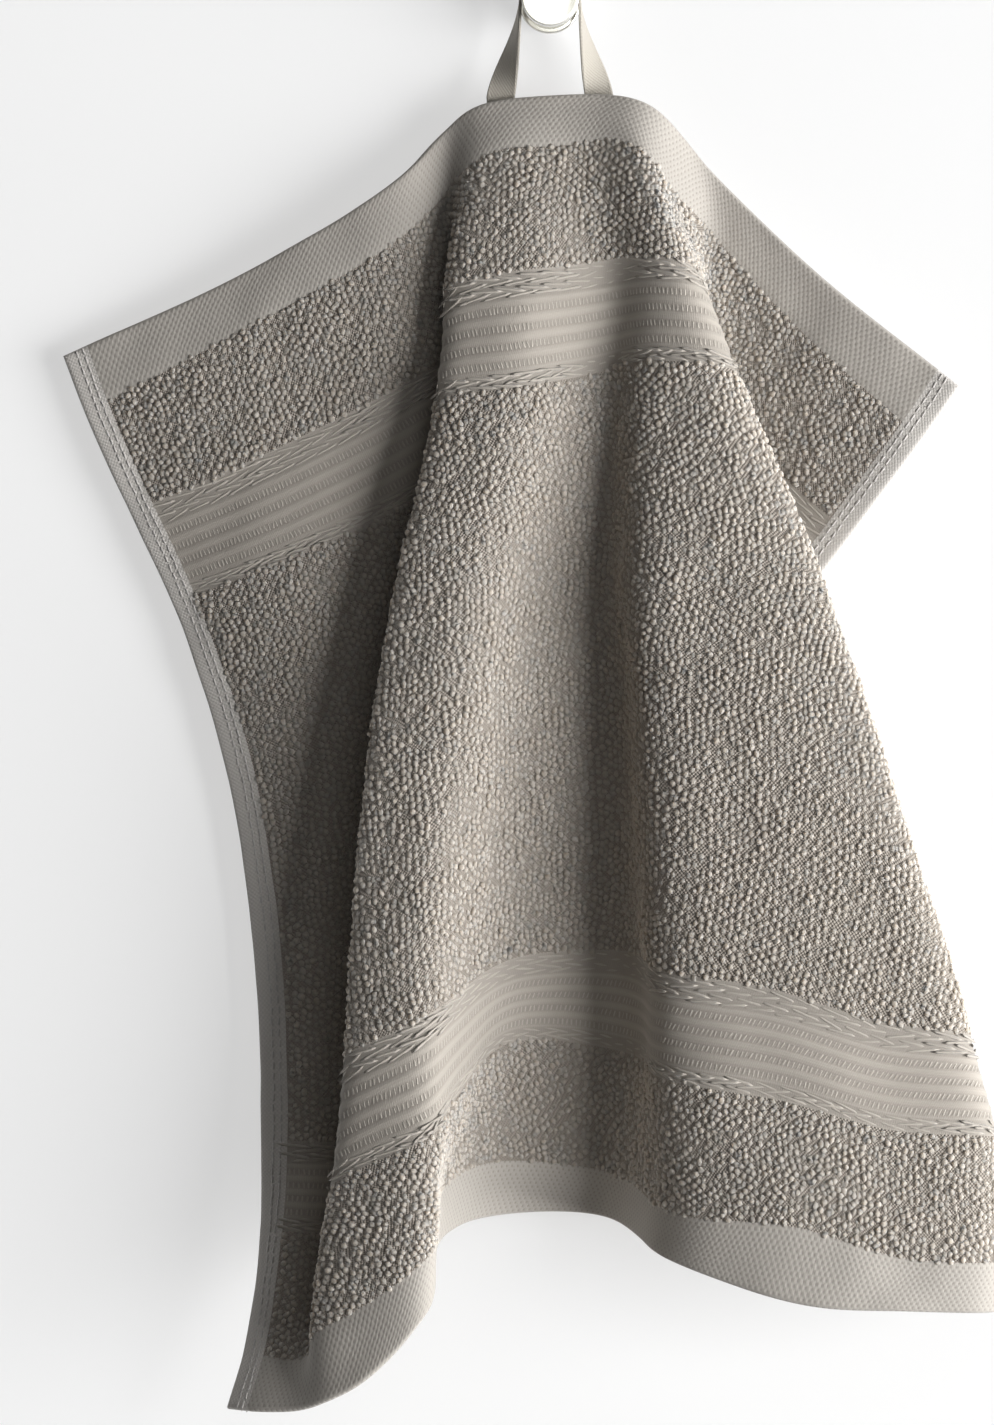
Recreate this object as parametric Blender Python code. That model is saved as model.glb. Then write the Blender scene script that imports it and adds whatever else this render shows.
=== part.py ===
"""Face towel hung by its tape loop on a round wall hook.

Metres, +Z up. The origin is the centre of the hook's back face on the wall plane y = 0, and the
towel hangs in front of it, towards -Y.
"""

import math

import bmesh
import bpy
import numpy as np

MM = 0.001

# Cloth bands, measured down the cloth from its top edge, millimetres
CLOTH_WIDTH = 300.0
CLOTH_LENGTH = 300.0
HEM_DEPTH = 17.0
TERRY_STRIP = 31.0
BORDER_DEPTH = 28.0
SIDE_HEM = 7.5

# Half thicknesses of the cloth, millimetres
PILE_HALF = 1.8
FLAT_HALF = 0.9
HEM_HALF = 1.1
RIB_RISE = 0.35
BORDER_EDGING = 5.0
BORDER_RIBS = 4

# Hook and tape, millimetres
FLANGE_RADIUS = 7.7
FLANGE_DEPTH = 2.6
NECK_RADIUS = 6.6
HEAD_RADIUS = 7.15
HEAD_START = 17.2
HEAD_END = 22.0
BEVEL_RADIUS = 5.6
TAPE_WIDTH = 7.0
TAPE_THICKNESS = 0.9
TAPE_OUT = 12.0
GAP = 0.3

# The cloth's own fold lines, from its left side edge to its right one. A row is one fold line: how far
# across from the hook, out from the wall and down from the hook it runs, in millimetres, at each level.
LEVELS = (0, 17, 48, 76, 125, 175, 224, 252, 283, 300)
FOLD_LINES = {
    "left_edge": {
        "across": (-122.0, -116.5, -105.2, -94.5, -81.0, -74.4, -72.0, -72.0, -75.8, -79.8),
        "out": (6.5, 7.0, 7.5, 7.5, 7.5, 8.5, 13.0, 19.0, 29.0, 35.0),
        "down": (88.8, 103.2, 128.2, 150.8, 192.5, 236.5, 285.0, 307.0, 336.2, 350.5),
    },
    "left_wing": {
        "across": (-75.0, -77.5, -67.5, -65.0, -62.0, -62.0, -63.0, -64.5, -69.5, -73.0),
        "out": (12.0, 13.5, 15.5, 16.5, 13.5, 13.0, 18.0, 25.0, 34.5, 40.5),
        "down": (67.5, 83.2, 112.0, 140.0, 186.5, 234.5, 285.2, 307.5, 338.0, 350.8),
    },
    "left_inner": {
        "across": (-37.5, -37.5, -33.0, -33.0, -35.0, -38.0, -43.0, -48.0, -62.5, -66.0),
        "out": (16.5, 17.0, 16.0, 12.5, 9.0, 8.5, 11.0, 19.0, 37.0, 44.0),
        "down": (44.5, 60.0, 94.0, 124.0, 180.0, 231.0, 284.5, 307.5, 338.8, 350.5),
    },
    "left_valley": {
        "across": (-25.5, -25.5, -23.5, -24.0, -23.5, -25.0, -31.0, -38.5, -58.0, -62.0),
        "out": (12.0, 12.0, 11.5, 10.0, 10.5, 11.0, 13.5, 21.5, 39.5, 46.5),
        "down": (31.8, 47.5, 87.0, 116.0, 173.5, 223.5, 278.0, 304.0, 337.5, 350.0),
    },
    "left_return": {
        "across": (-22.5, -23.0, -22.5, -23.5, -27.0, -30.0, -36.0, -43.0, -57.5, -59.0),
        "out": (12.5, 14.0, 16.5, 17.5, 19.5, 20.5, 23.0, 30.5, 42.5, 48.5),
        "down": (29.0, 45.5, 80.0, 109.0, 166.0, 217.5, 272.0, 300.5, 335.0, 349.3),
    },
    "left_fold": {
        "across": (-20.0, -21.0, -25.8, -28.2, -40.5, -47.8, -51.5, -54.8, -58.8, -56.0),
        "out": (14.0, 17.5, 24.5, 28.5, 32.5, 36.0, 39.0, 42.0, 47.0, 51.0),
        "down": (27.0, 43.0, 73.0, 100.8, 155.0, 210.0, 263.8, 296.2, 332.0, 348.0),
    },
    "left_face": {
        "across": (-16.0, -16.0, -17.5, -20.0, -31.5, -39.0, -42.5, -43.0, -47.0, -45.5),
        "out": (14.3, 18.7, 27.0, 31.5, 36.0, 39.8, 43.8, 47.5, 52.0, 54.5),
        "down": (25.8, 39.5, 70.0, 99.0, 150.5, 202.5, 259.0, 288.8, 325.0, 342.5),
    },
    "left_crest": {
        "across": (-12.5, -11.0, -9.0, -11.0, -20.5, -27.5, -30.0, -30.0, -30.5, -31.0),
        "out": (14.5, 19.0, 28.0, 32.8, 37.3, 41.2, 45.2, 49.0, 53.0, 54.5),
        "down": (24.8, 37.5, 68.8, 98.2, 148.0, 199.5, 252.5, 283.0, 312.0, 326.0),
    },
    "crest_side": {
        "across": (-9.5, -7.0, -4.0, -5.0, -13.0, -20.5, -23.5, -24.5, -28.5, -29.0),
        "out": (14.6, 19.3, 28.0, 32.0, 34.5, 37.0, 37.5, 38.0, 36.0, 34.0),
        "down": (24.6, 37.5, 68.2, 97.0, 146.5, 197.0, 247.5, 274.0, 297.5, 309.5),
    },
    "recess": {
        "across": (-6.2, -2.5, 2.5, 2.5, -2.8, -8.0, -10.0, -11.2, -15.0, -15.0),
        "out": (14.8, 19.0, 26.0, 28.0, 25.0, 23.5, 22.0, 20.0, 16.5, 14.0),
        "down": (24.5, 37.5, 67.5, 95.5, 145.0, 193.5, 239.2, 260.2, 290.0, 304.0),
    },
    "crease": {
        "across": (2.5, 8.8, 15.0, 14.5, 15.0, 17.8, 19.5, 20.0, 16.0, 12.5),
        "out": (15.0, 17.5, 21.5, 22.0, 19.5, 18.0, 17.0, 16.0, 13.0, 11.0),
        "down": (24.0, 36.5, 65.5, 93.0, 141.5, 191.0, 237.5, 263.0, 293.0, 303.8),
    },
    "step": {
        "across": (12.5, 15.5, 22.5, 22.5, 22.8, 24.6, 28.0, 29.5, 31.5, 30.5),
        "out": (15.0, 19.0, 26.5, 31.0, 36.5, 39.3, 42.0, 43.0, 43.0, 42.0),
        "down": (24.0, 35.0, 64.5, 91.0, 138.5, 187.5, 242.0, 269.0, 302.0, 313.8),
    },
    "right_crest": {
        "across": (20.0, 22.5, 29.5, 35.0, 40.3, 47.0, 53.8, 57.5, 60.0, 62.5),
        "out": (17.0, 22.0, 30.0, 35.0, 40.0, 44.0, 48.0, 50.0, 52.0, 52.0),
        "down": (24.8, 38.0, 65.5, 91.5, 140.0, 189.5, 246.0, 273.8, 304.5, 324.0),
    },
    "right_face": {
        "across": (25.0, 26.2, 33.0, 41.2, 54.0, 69.0, 80.0, 83.8, 85.0, 87.5),
        "out": (17.5, 22.0, 30.0, 35.0, 40.0, 44.5, 48.5, 50.0, 51.0, 51.0),
        "down": (26.5, 43.0, 66.2, 92.5, 140.5, 191.0, 254.0, 281.0, 312.0, 325.4),
    },
    "right_fold": {
        "across": (29.5, 30.5, 35.5, 46.0, 68.5, 87.0, 103.0, 108.0, 108.8, 107.5),
        "out": (16.0, 20.0, 27.0, 31.5, 36.5, 41.0, 45.0, 46.5, 47.0, 47.0),
        "down": (30.5, 49.0, 68.0, 94.0, 148.0, 203.5, 257.5, 282.5, 313.8, 326.0),
    },
    "right_return": {
        "across": (33.0, 35.0, 39.5, 44.5, 59.0, 80.0, 101.5, 110.0, 110.8, 109.3),
        "out": (13.5, 16.5, 20.0, 21.0, 23.0, 28.0, 35.0, 40.0, 42.5, 42.6),
        "down": (34.0, 53.0, 79.0, 107.0, 161.0, 206.5, 259.5, 283.5, 313.4, 325.9),
    },
    "right_valley": {
        "across": (36.0, 39.5, 38.0, 35.0, 30.0, 68.0, 97.0, 110.0, 112.0, 111.0),
        "out": (11.0, 13.0, 13.5, 14.5, 15.5, 22.0, 31.0, 37.5, 41.5, 42.0),
        "down": (38.0, 57.5, 91.0, 123.0, 180.0, 211.0, 262.5, 284.5, 313.0, 325.8),
    },
    "right_wing": {
        "across": (65.0, 60.0, 52.0, 44.0, 36.5, 60.0, 90.0, 110.0, 114.0, 114.0),
        "out": (16.0, 15.0, 12.0, 10.0, 9.0, 14.5, 25.5, 35.0, 40.0, 41.0),
        "down": (67.0, 80.2, 112.5, 139.5, 185.5, 219.0, 267.5, 286.5, 312.0, 325.6),
    },
    "right_edge": {
        "across": (102.0, 92.8, 75.2, 59.2, 46.5, 54.0, 83.5, 109.5, 115.5, 116.0),
        "out": (22.0, 21.0, 18.0, 14.5, 8.5, 7.5, 22.0, 33.5, 38.5, 40.0),
        "down": (97.0, 110.2, 134.0, 156.0, 191.0, 227.0, 272.0, 288.0, 311.0, 325.4),
    },
}

# Columns of the cloth's mesh in each space between two fold lines, left to right
COLUMNS_BETWEEN = (3, 2, 3, 2, 3, 2, 1, 1, 2, 3, 2, 3, 2, 3, 2, 3, 2, 3)
SIDE_HEM_REACH = 20.0
SAMPLES_BETWEEN = 10
# Spacing of the mesh's rows in each band down the cloth, with None where a border's ribs set it
ROW_SPACING = (8.0, 10.0, None, 10.5, None, 10.0, 8.0)
FOLD_ROUNDING = 3.3
STEP_WIDTH = 0.6


def material(name, colour, roughness, metallic=0.0):
    """A plain Principled material."""
    made = bpy.data.materials.new(name)
    made.use_nodes = True
    shader = made.node_tree.nodes["Principled BSDF"]
    shader.inputs["Base Color"].default_value = (*colour, 1.0)
    shader.inputs["Roughness"].default_value = roughness
    shader.inputs["Metallic"].default_value = metallic
    return made


def add_object(name, mesh_data, surface, sharp_angle):
    """Turns a bmesh into a smooth-shaded object with one material."""
    bmesh.ops.recalc_face_normals(mesh_data, faces=mesh_data.faces)
    mesh = bpy.data.meshes.new(name)
    mesh_data.to_mesh(mesh)
    mesh_data.free()
    mesh.materials.append(surface)
    mesh.shade_smooth()
    mesh.set_sharp_from_angle(angle=math.radians(sharp_angle))
    made = bpy.data.objects.new(name, mesh)
    bpy.context.scene.collection.objects.link(made)
    return made


def curve_through(knots, values, at):
    """A smooth curve through the values at the knots, read at the given places."""
    knots = np.asarray(knots, float)
    values = np.asarray(values, float)
    at = np.asarray(at, float)
    step = np.diff(knots)
    slope = np.diff(values, axis=0) / step[:, None]
    share = (step[1:] / (step[:-1] + step[1:]))[:, None]
    tangent = np.vstack([slope[:1], slope[:-1] * share + slope[1:] * (1 - share), slope[-1:]])
    first = np.clip(np.searchsorted(knots, at, side="right") - 1, 0, len(knots) - 2)
    width = step[first][:, None]
    t = (at - knots[first])[:, None] / width
    near = (1 + 2 * t) * (1 - t) ** 2 * values[first] + t * (1 - t) ** 2 * width * tangent[first]
    far = t * t * (3 - 2 * t) * values[first + 1] - t * t * (1 - t) * width * tangent[first + 1]
    return near + far


def run_of(points):
    """How far along its own line each point lies."""
    return np.concatenate([[0.0], np.cumsum(np.linalg.norm(np.diff(points, axis=0), axis=1))])


def rounded(points, reach):
    """Rounds a line's sharp turns over the given reach, with its two ends kept."""
    before = 2 * points[0] - points[:0:-1]
    after = 2 * points[-1] - points[-2::-1]
    longer = np.vstack([before, points, after])
    place = run_of(longer)
    spacing = np.gradient(place)
    own = place[len(before):len(before) + len(points)]
    apart = own[:, None] - place[None, :]
    weight = np.exp(-0.5 * (apart / reach) ** 2) * spacing
    return weight @ longer / weight.sum(axis=1, keepdims=True)


def fold_points(level):
    """Where each fold line crosses one level of the cloth, as across, out and down."""
    crossing = []
    for row in FOLD_LINES.values():
        course = np.column_stack([row["across"], row["out"], row["down"]])
        crossing.append(curve_through(LEVELS, course, [level])[0])
    return np.array(crossing)


def section(level):
    """The cloth's line across at one level, with its turns rounded."""
    folds = fold_points(level)
    knots = np.concatenate([[0.0], np.cumsum(np.linalg.norm(np.diff(folds, axis=0), axis=1) ** 0.5)])
    places = np.concatenate([
        np.linspace(knots[i], knots[i + 1], SAMPLES_BETWEEN, endpoint=False) for i in range(len(knots) - 1)
    ] + [knots[-1:]])
    return rounded(curve_through(knots, folds, places), FOLD_ROUNDING)


def column_runs(line):
    """Where the mesh's columns cross one section: on both side hems' edges, then by the fold lines."""
    run = run_of(line)
    total = run[-1]
    index = np.arange(len(line)) / SAMPLES_BETWEEN
    wanted = np.concatenate([
        i + np.arange(count) / count for i, count in enumerate(COLUMNS_BETWEEN)
    ] + [[len(COLUMNS_BETWEEN)]])
    inner = np.interp(wanted, index, run)
    start = SIDE_HEM + STEP_WIDTH
    inner = inner + start * np.exp(-inner / SIDE_HEM_REACH) - start * np.exp((inner - total) / SIDE_HEM_REACH)
    hem_edge = SIDE_HEM - STEP_WIDTH
    return np.concatenate([[0.0, hem_edge], inner, [total - hem_edge, total]])


def border_start_levels():
    """The top edge of each figured border."""
    first = HEM_DEPTH + TERRY_STRIP
    return first, CLOTH_LENGTH - first - BORDER_DEPTH


def row_levels():
    """The mesh's rows down the cloth: a pair at each change of weave, and each border's ribs."""
    changes = []
    for start in border_start_levels():
        changes += [start, start + BORDER_DEPTH]
    changes = sorted(changes + [HEM_DEPTH, CLOTH_LENGTH - HEM_DEPTH])
    levels = []
    top = 0.0
    for bottom, pitch in zip(changes + [CLOTH_LENGTH], ROW_SPACING):
        start = top + (STEP_WIDTH if top > 0 else 0.0)
        end = bottom - (STEP_WIDTH if bottom < CLOTH_LENGTH else 0.0)
        if pitch is None:
            first_rib = top + BORDER_EDGING
            rib = (BORDER_DEPTH - 2 * BORDER_EDGING) / BORDER_RIBS
            inner = [first_rib + rib * k / 2 for k in range(2 * BORDER_RIBS + 1)]
            levels += [start, *inner, end]
        else:
            levels += list(np.linspace(start, end, round((end - start) / pitch) + 1))
        top = bottom
    return np.array(levels)


def half_thickness(level, from_side):
    """Half the cloth's thickness: thick in its pile, thin in its hems and figured borders."""
    if min(level, CLOTH_LENGTH - level) < HEM_DEPTH or from_side < SIDE_HEM:
        return HEM_HALF
    for start in border_start_levels():
        if start < level < start + BORDER_DEPTH:
            rib = (BORDER_DEPTH - 2 * BORDER_EDGING) / BORDER_RIBS
            phase = (level - start - BORDER_EDGING) / rib
            inside = 0.0 <= phase <= BORDER_RIBS
            return FLAT_HALF + (RIB_RISE * (0.5 - 0.5 * math.cos(2 * math.pi * phase)) if inside else 0.0)
    return PILE_HALF


def to_world(point):
    """Across, out and down in millimetres to metres in the object's frame."""
    return (point[0] * MM, -point[1] * MM, -point[2] * MM)


def make_towel():
    """The woven cloth as one closed sheet with the thickness of its weaves."""
    levels = row_levels()
    rows = []
    halves = []
    for level in levels:
        line = section(level)
        run = run_of(line)
        runs = column_runs(line)
        rows.append(np.column_stack([np.interp(runs, run, line[:, axis]) for axis in range(3)]))
        scale = CLOTH_WIDTH / run[-1]
        halves.append([half_thickness(level, min(place, run[-1] - place) * scale) for place in runs])
    middle = np.array(rows)
    half = np.array(halves)[..., None]
    across_way = np.gradient(middle, axis=1)
    down_way = np.gradient(middle, axis=0)
    out_way = np.cross(down_way, across_way)
    out_way = out_way / np.linalg.norm(out_way, axis=2, keepdims=True)
    shape = bmesh.new()
    grids = []
    for side in (1.0, -1.0):
        surface = middle + side * half * out_way
        grids.append([[shape.verts.new(to_world(point)) for point in row] for row in surface])
    front, back = grids
    last_row = len(levels) - 1
    last_column = middle.shape[1] - 1
    for r in range(last_row):
        for c in range(last_column):
            shape.faces.new((front[r][c], front[r + 1][c], front[r + 1][c + 1], front[r][c + 1]))
            shape.faces.new((back[r][c], back[r][c + 1], back[r + 1][c + 1], back[r + 1][c]))
        for c in (0, last_column):
            shape.faces.new((front[r][c], front[r + 1][c], back[r + 1][c], back[r][c]))
    for c in range(last_column):
        for r in (0, last_row):
            shape.faces.new((front[r][c], front[r][c + 1], back[r][c + 1], back[r][c]))
    return add_object("towel", shape, material("terry_cloth", (0.36, 0.32, 0.28), 0.95), 60)


# Tape legs, millimetres: where each leg's middle meets the hem, and where its sewn tail ends
TAPE_ENDS = {
    "left": {
        "across": -12.4, "hem_out": 11.9, "hem_down": 24.4,
        "tail_across": -11.8, "tail_out": 14.5, "tail_down": 34.0,
    },
    "right": {
        "across": 12.2, "hem_out": 12.0, "hem_down": 23.6,
        "tail_across": 14.2, "tail_out": 14.4, "tail_down": 33.0,
    },
}
TAPE_TURN_STEPS = 18
TAPE_LEG_STEPS = 14
TAPE_TAIL_STEPS = 3
TAPE_TWIST_EASE = 1.6
TAPE_STRAIGHT_SHARE = 0.35


def tape_frames():
    """Middle, width direction and thickness direction of the tape from one sewn end to the other."""
    radius = NECK_RADIUS + GAP + TAPE_THICKNESS / 2
    along_peg = np.array([0.0, 1.0, 0.0])

    def leg(end, side):
        frames = []
        top = np.array([side * radius, TAPE_OUT, 0.0])
        hem = np.array([end["across"], end["hem_out"], end["hem_down"]])
        tail = np.array([end["tail_across"], end["tail_out"], end["tail_down"]])
        for k in range(1, TAPE_LEG_STEPS + 1):
            t = k / TAPE_LEG_STEPS
            late_lean = t * t * (2.0 - t)
            lean = TAPE_STRAIGHT_SHARE * t + (1.0 - TAPE_STRAIGHT_SHARE) * late_lean
            place = top + (hem - top) * np.array([lean, t, t])
            turn = math.radians(90.0) * t ** TAPE_TWIST_EASE
            width = along_peg * math.cos(turn) + np.array([-side, 0.0, 0.0]) * math.sin(turn)
            frames.append((place, width))
        for k in range(1, TAPE_TAIL_STEPS + 1):
            place = hem + (tail - hem) * k / TAPE_TAIL_STEPS
            frames.append((place, np.array([-side, 0.0, 0.0])))
        return frames

    left = leg(TAPE_ENDS["left"], -1.0)
    right = leg(TAPE_ENDS["right"], 1.0)
    turn_over = []
    for k in range(TAPE_TURN_STEPS + 1):
        angle = math.pi * k / TAPE_TURN_STEPS
        place = np.array([-radius * math.cos(angle), TAPE_OUT, -radius * math.sin(angle)])
        turn_over.append((place, along_peg))
    return left[::-1] + turn_over + right


def make_loop():
    """The tape: flat over the hook, each leg turned a quarter so that its end lies behind the hem."""
    frames = tape_frames()
    centres = np.array([place for place, _ in frames])
    ways = np.gradient(centres, axis=0)
    shape = bmesh.new()
    rings = []
    for (place, width), way in zip(frames, ways):
        way = way / np.linalg.norm(way)
        width = width - way * np.dot(width, way)
        width = width / np.linalg.norm(width)
        depth = np.cross(way, width)
        ring = []
        for across, deep in ((-1, -1), (0, -1), (1, -1), (1, 1), (0, 1), (-1, 1)):
            corner = place + width * across * TAPE_WIDTH / 2 + depth * deep * TAPE_THICKNESS / 2
            ring.append(shape.verts.new(to_world(corner)))
        rings.append(ring)
    for first, second in zip(rings[:-1], rings[1:]):
        for k in range(len(first)):
            after = (k + 1) % len(first)
            shape.faces.new((first[k], first[after], second[after], second[k]))
    shape.faces.new(rings[0])
    shape.faces.new(rings[-1])
    return add_object("hanging_loop", shape, material("woven_tape", (0.42, 0.38, 0.33), 0.85), 40)


HOOK_SIDES = 44
HOOK_EDGE = 0.5
HEAD_DISH = 0.7


def hook_profile():
    """The turned hook's outline as radius and distance out, from its wall face to its front."""
    return (
        (FLANGE_RADIUS - HOOK_EDGE, 0.0),
        (FLANGE_RADIUS, HOOK_EDGE),
        (FLANGE_RADIUS, FLANGE_DEPTH - HOOK_EDGE),
        (FLANGE_RADIUS - HOOK_EDGE, FLANGE_DEPTH),
        (NECK_RADIUS + HOOK_EDGE, FLANGE_DEPTH),
        (NECK_RADIUS, FLANGE_DEPTH + HOOK_EDGE),
        (NECK_RADIUS, HEAD_START - HOOK_EDGE),
        (HEAD_RADIUS, HEAD_START + HOOK_EDGE),
        (HEAD_RADIUS, HEAD_END - 2 * HOOK_EDGE),
        (HEAD_RADIUS - 0.3 * HOOK_EDGE, HEAD_END - HOOK_EDGE),
        (HEAD_RADIUS - 1.6 * HOOK_EDGE, HEAD_END),
        (BEVEL_RADIUS + HOOK_EDGE, HEAD_END),
        (BEVEL_RADIUS, HEAD_END - HEAD_DISH),
    )


def make_hook():
    """The turned metal hook, flange against the wall."""
    shape = bmesh.new()
    rings = []
    for radius, out in hook_profile():
        ring = []
        for k in range(HOOK_SIDES):
            angle = 2 * math.pi * k / HOOK_SIDES
            ring.append(shape.verts.new(to_world((radius * math.cos(angle), out, -radius * math.sin(angle)))))
        rings.append(ring)
    for first, second in zip(rings[:-1], rings[1:]):
        for k in range(HOOK_SIDES):
            after = (k + 1) % HOOK_SIDES
            shape.faces.new((first[k], first[after], second[after], second[k]))
    shape.faces.new(rings[0])
    shape.faces.new(rings[-1])
    return add_object("hook", shape, material("polished_metal", (0.72, 0.72, 0.70), 0.12, 1.0), 30)


def main():
    for old in list(bpy.data.objects):
        bpy.data.objects.remove(old, do_unlink=True)
    make_hook()
    make_loop()
    make_towel()


main()
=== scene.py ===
"""Looks of a terry face towel that hangs by its tape loop from a round wall hook.

The cloth is worked out from its own fold lines. A place on it is u, millimetres across the cloth from
its left side edge, and v, millimetres down the cloth from its top edge.
"""

import math

import bmesh
import bpy
import numpy as np
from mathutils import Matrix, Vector


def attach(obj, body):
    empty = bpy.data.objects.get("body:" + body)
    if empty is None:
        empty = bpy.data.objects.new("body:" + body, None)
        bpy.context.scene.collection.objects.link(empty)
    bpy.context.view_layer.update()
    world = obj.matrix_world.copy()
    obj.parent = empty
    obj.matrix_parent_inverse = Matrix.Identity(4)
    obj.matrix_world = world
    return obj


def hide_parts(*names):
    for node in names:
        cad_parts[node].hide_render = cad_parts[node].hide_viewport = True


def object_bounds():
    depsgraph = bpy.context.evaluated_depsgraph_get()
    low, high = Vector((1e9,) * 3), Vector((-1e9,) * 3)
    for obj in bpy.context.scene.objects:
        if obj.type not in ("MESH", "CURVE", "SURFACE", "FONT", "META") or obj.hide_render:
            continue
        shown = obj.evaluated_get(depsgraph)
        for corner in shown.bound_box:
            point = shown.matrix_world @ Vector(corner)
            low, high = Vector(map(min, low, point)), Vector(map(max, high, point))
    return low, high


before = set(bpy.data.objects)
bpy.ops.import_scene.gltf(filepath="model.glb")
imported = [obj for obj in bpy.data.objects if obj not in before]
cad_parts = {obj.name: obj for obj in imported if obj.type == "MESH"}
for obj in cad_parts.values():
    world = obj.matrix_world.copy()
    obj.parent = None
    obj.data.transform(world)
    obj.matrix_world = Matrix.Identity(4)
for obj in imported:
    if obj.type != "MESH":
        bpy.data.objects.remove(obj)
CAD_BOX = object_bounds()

bl_info = {
    "name": "Face towel on a wall hook",
    "version": (1, 0, 0),
    "blender": (4, 5, 0),
    "location": "View3D > Sidebar > Towel",
    "description": "Makes a draped terry face towel with woven borders, its tape loop and its wall hook",
    "category": "Object",
}

MM = 0.001

# Cloth bands, millimetres
CLOTH_WIDTH = 300.0
CLOTH_LENGTH = 300.0
HEM_DEPTH = 17.0
TERRY_STRIP = 31.0
BORDER_DEPTH = 28.0
SIDE_HEM = 7.5
BORDER_STARTS = (HEM_DEPTH + TERRY_STRIP, CLOTH_LENGTH - HEM_DEPTH - TERRY_STRIP - BORDER_DEPTH)
TERRY_BANDS = (
    (HEM_DEPTH, BORDER_STARTS[0]),
    (BORDER_STARTS[0] + BORDER_DEPTH, BORDER_STARTS[1]),
    (BORDER_STARTS[1] + BORDER_DEPTH, CLOTH_LENGTH - HEM_DEPTH),
)

# Half thicknesses, millimetres
GROUND_HALF = 0.95
FLAT_HALF = 0.85
RIB_RISE = 0.28
HEM_HALF = 1.1
SIDE_HEM_HALF = 1.05
STEP_WIDTH = 0.7

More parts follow.
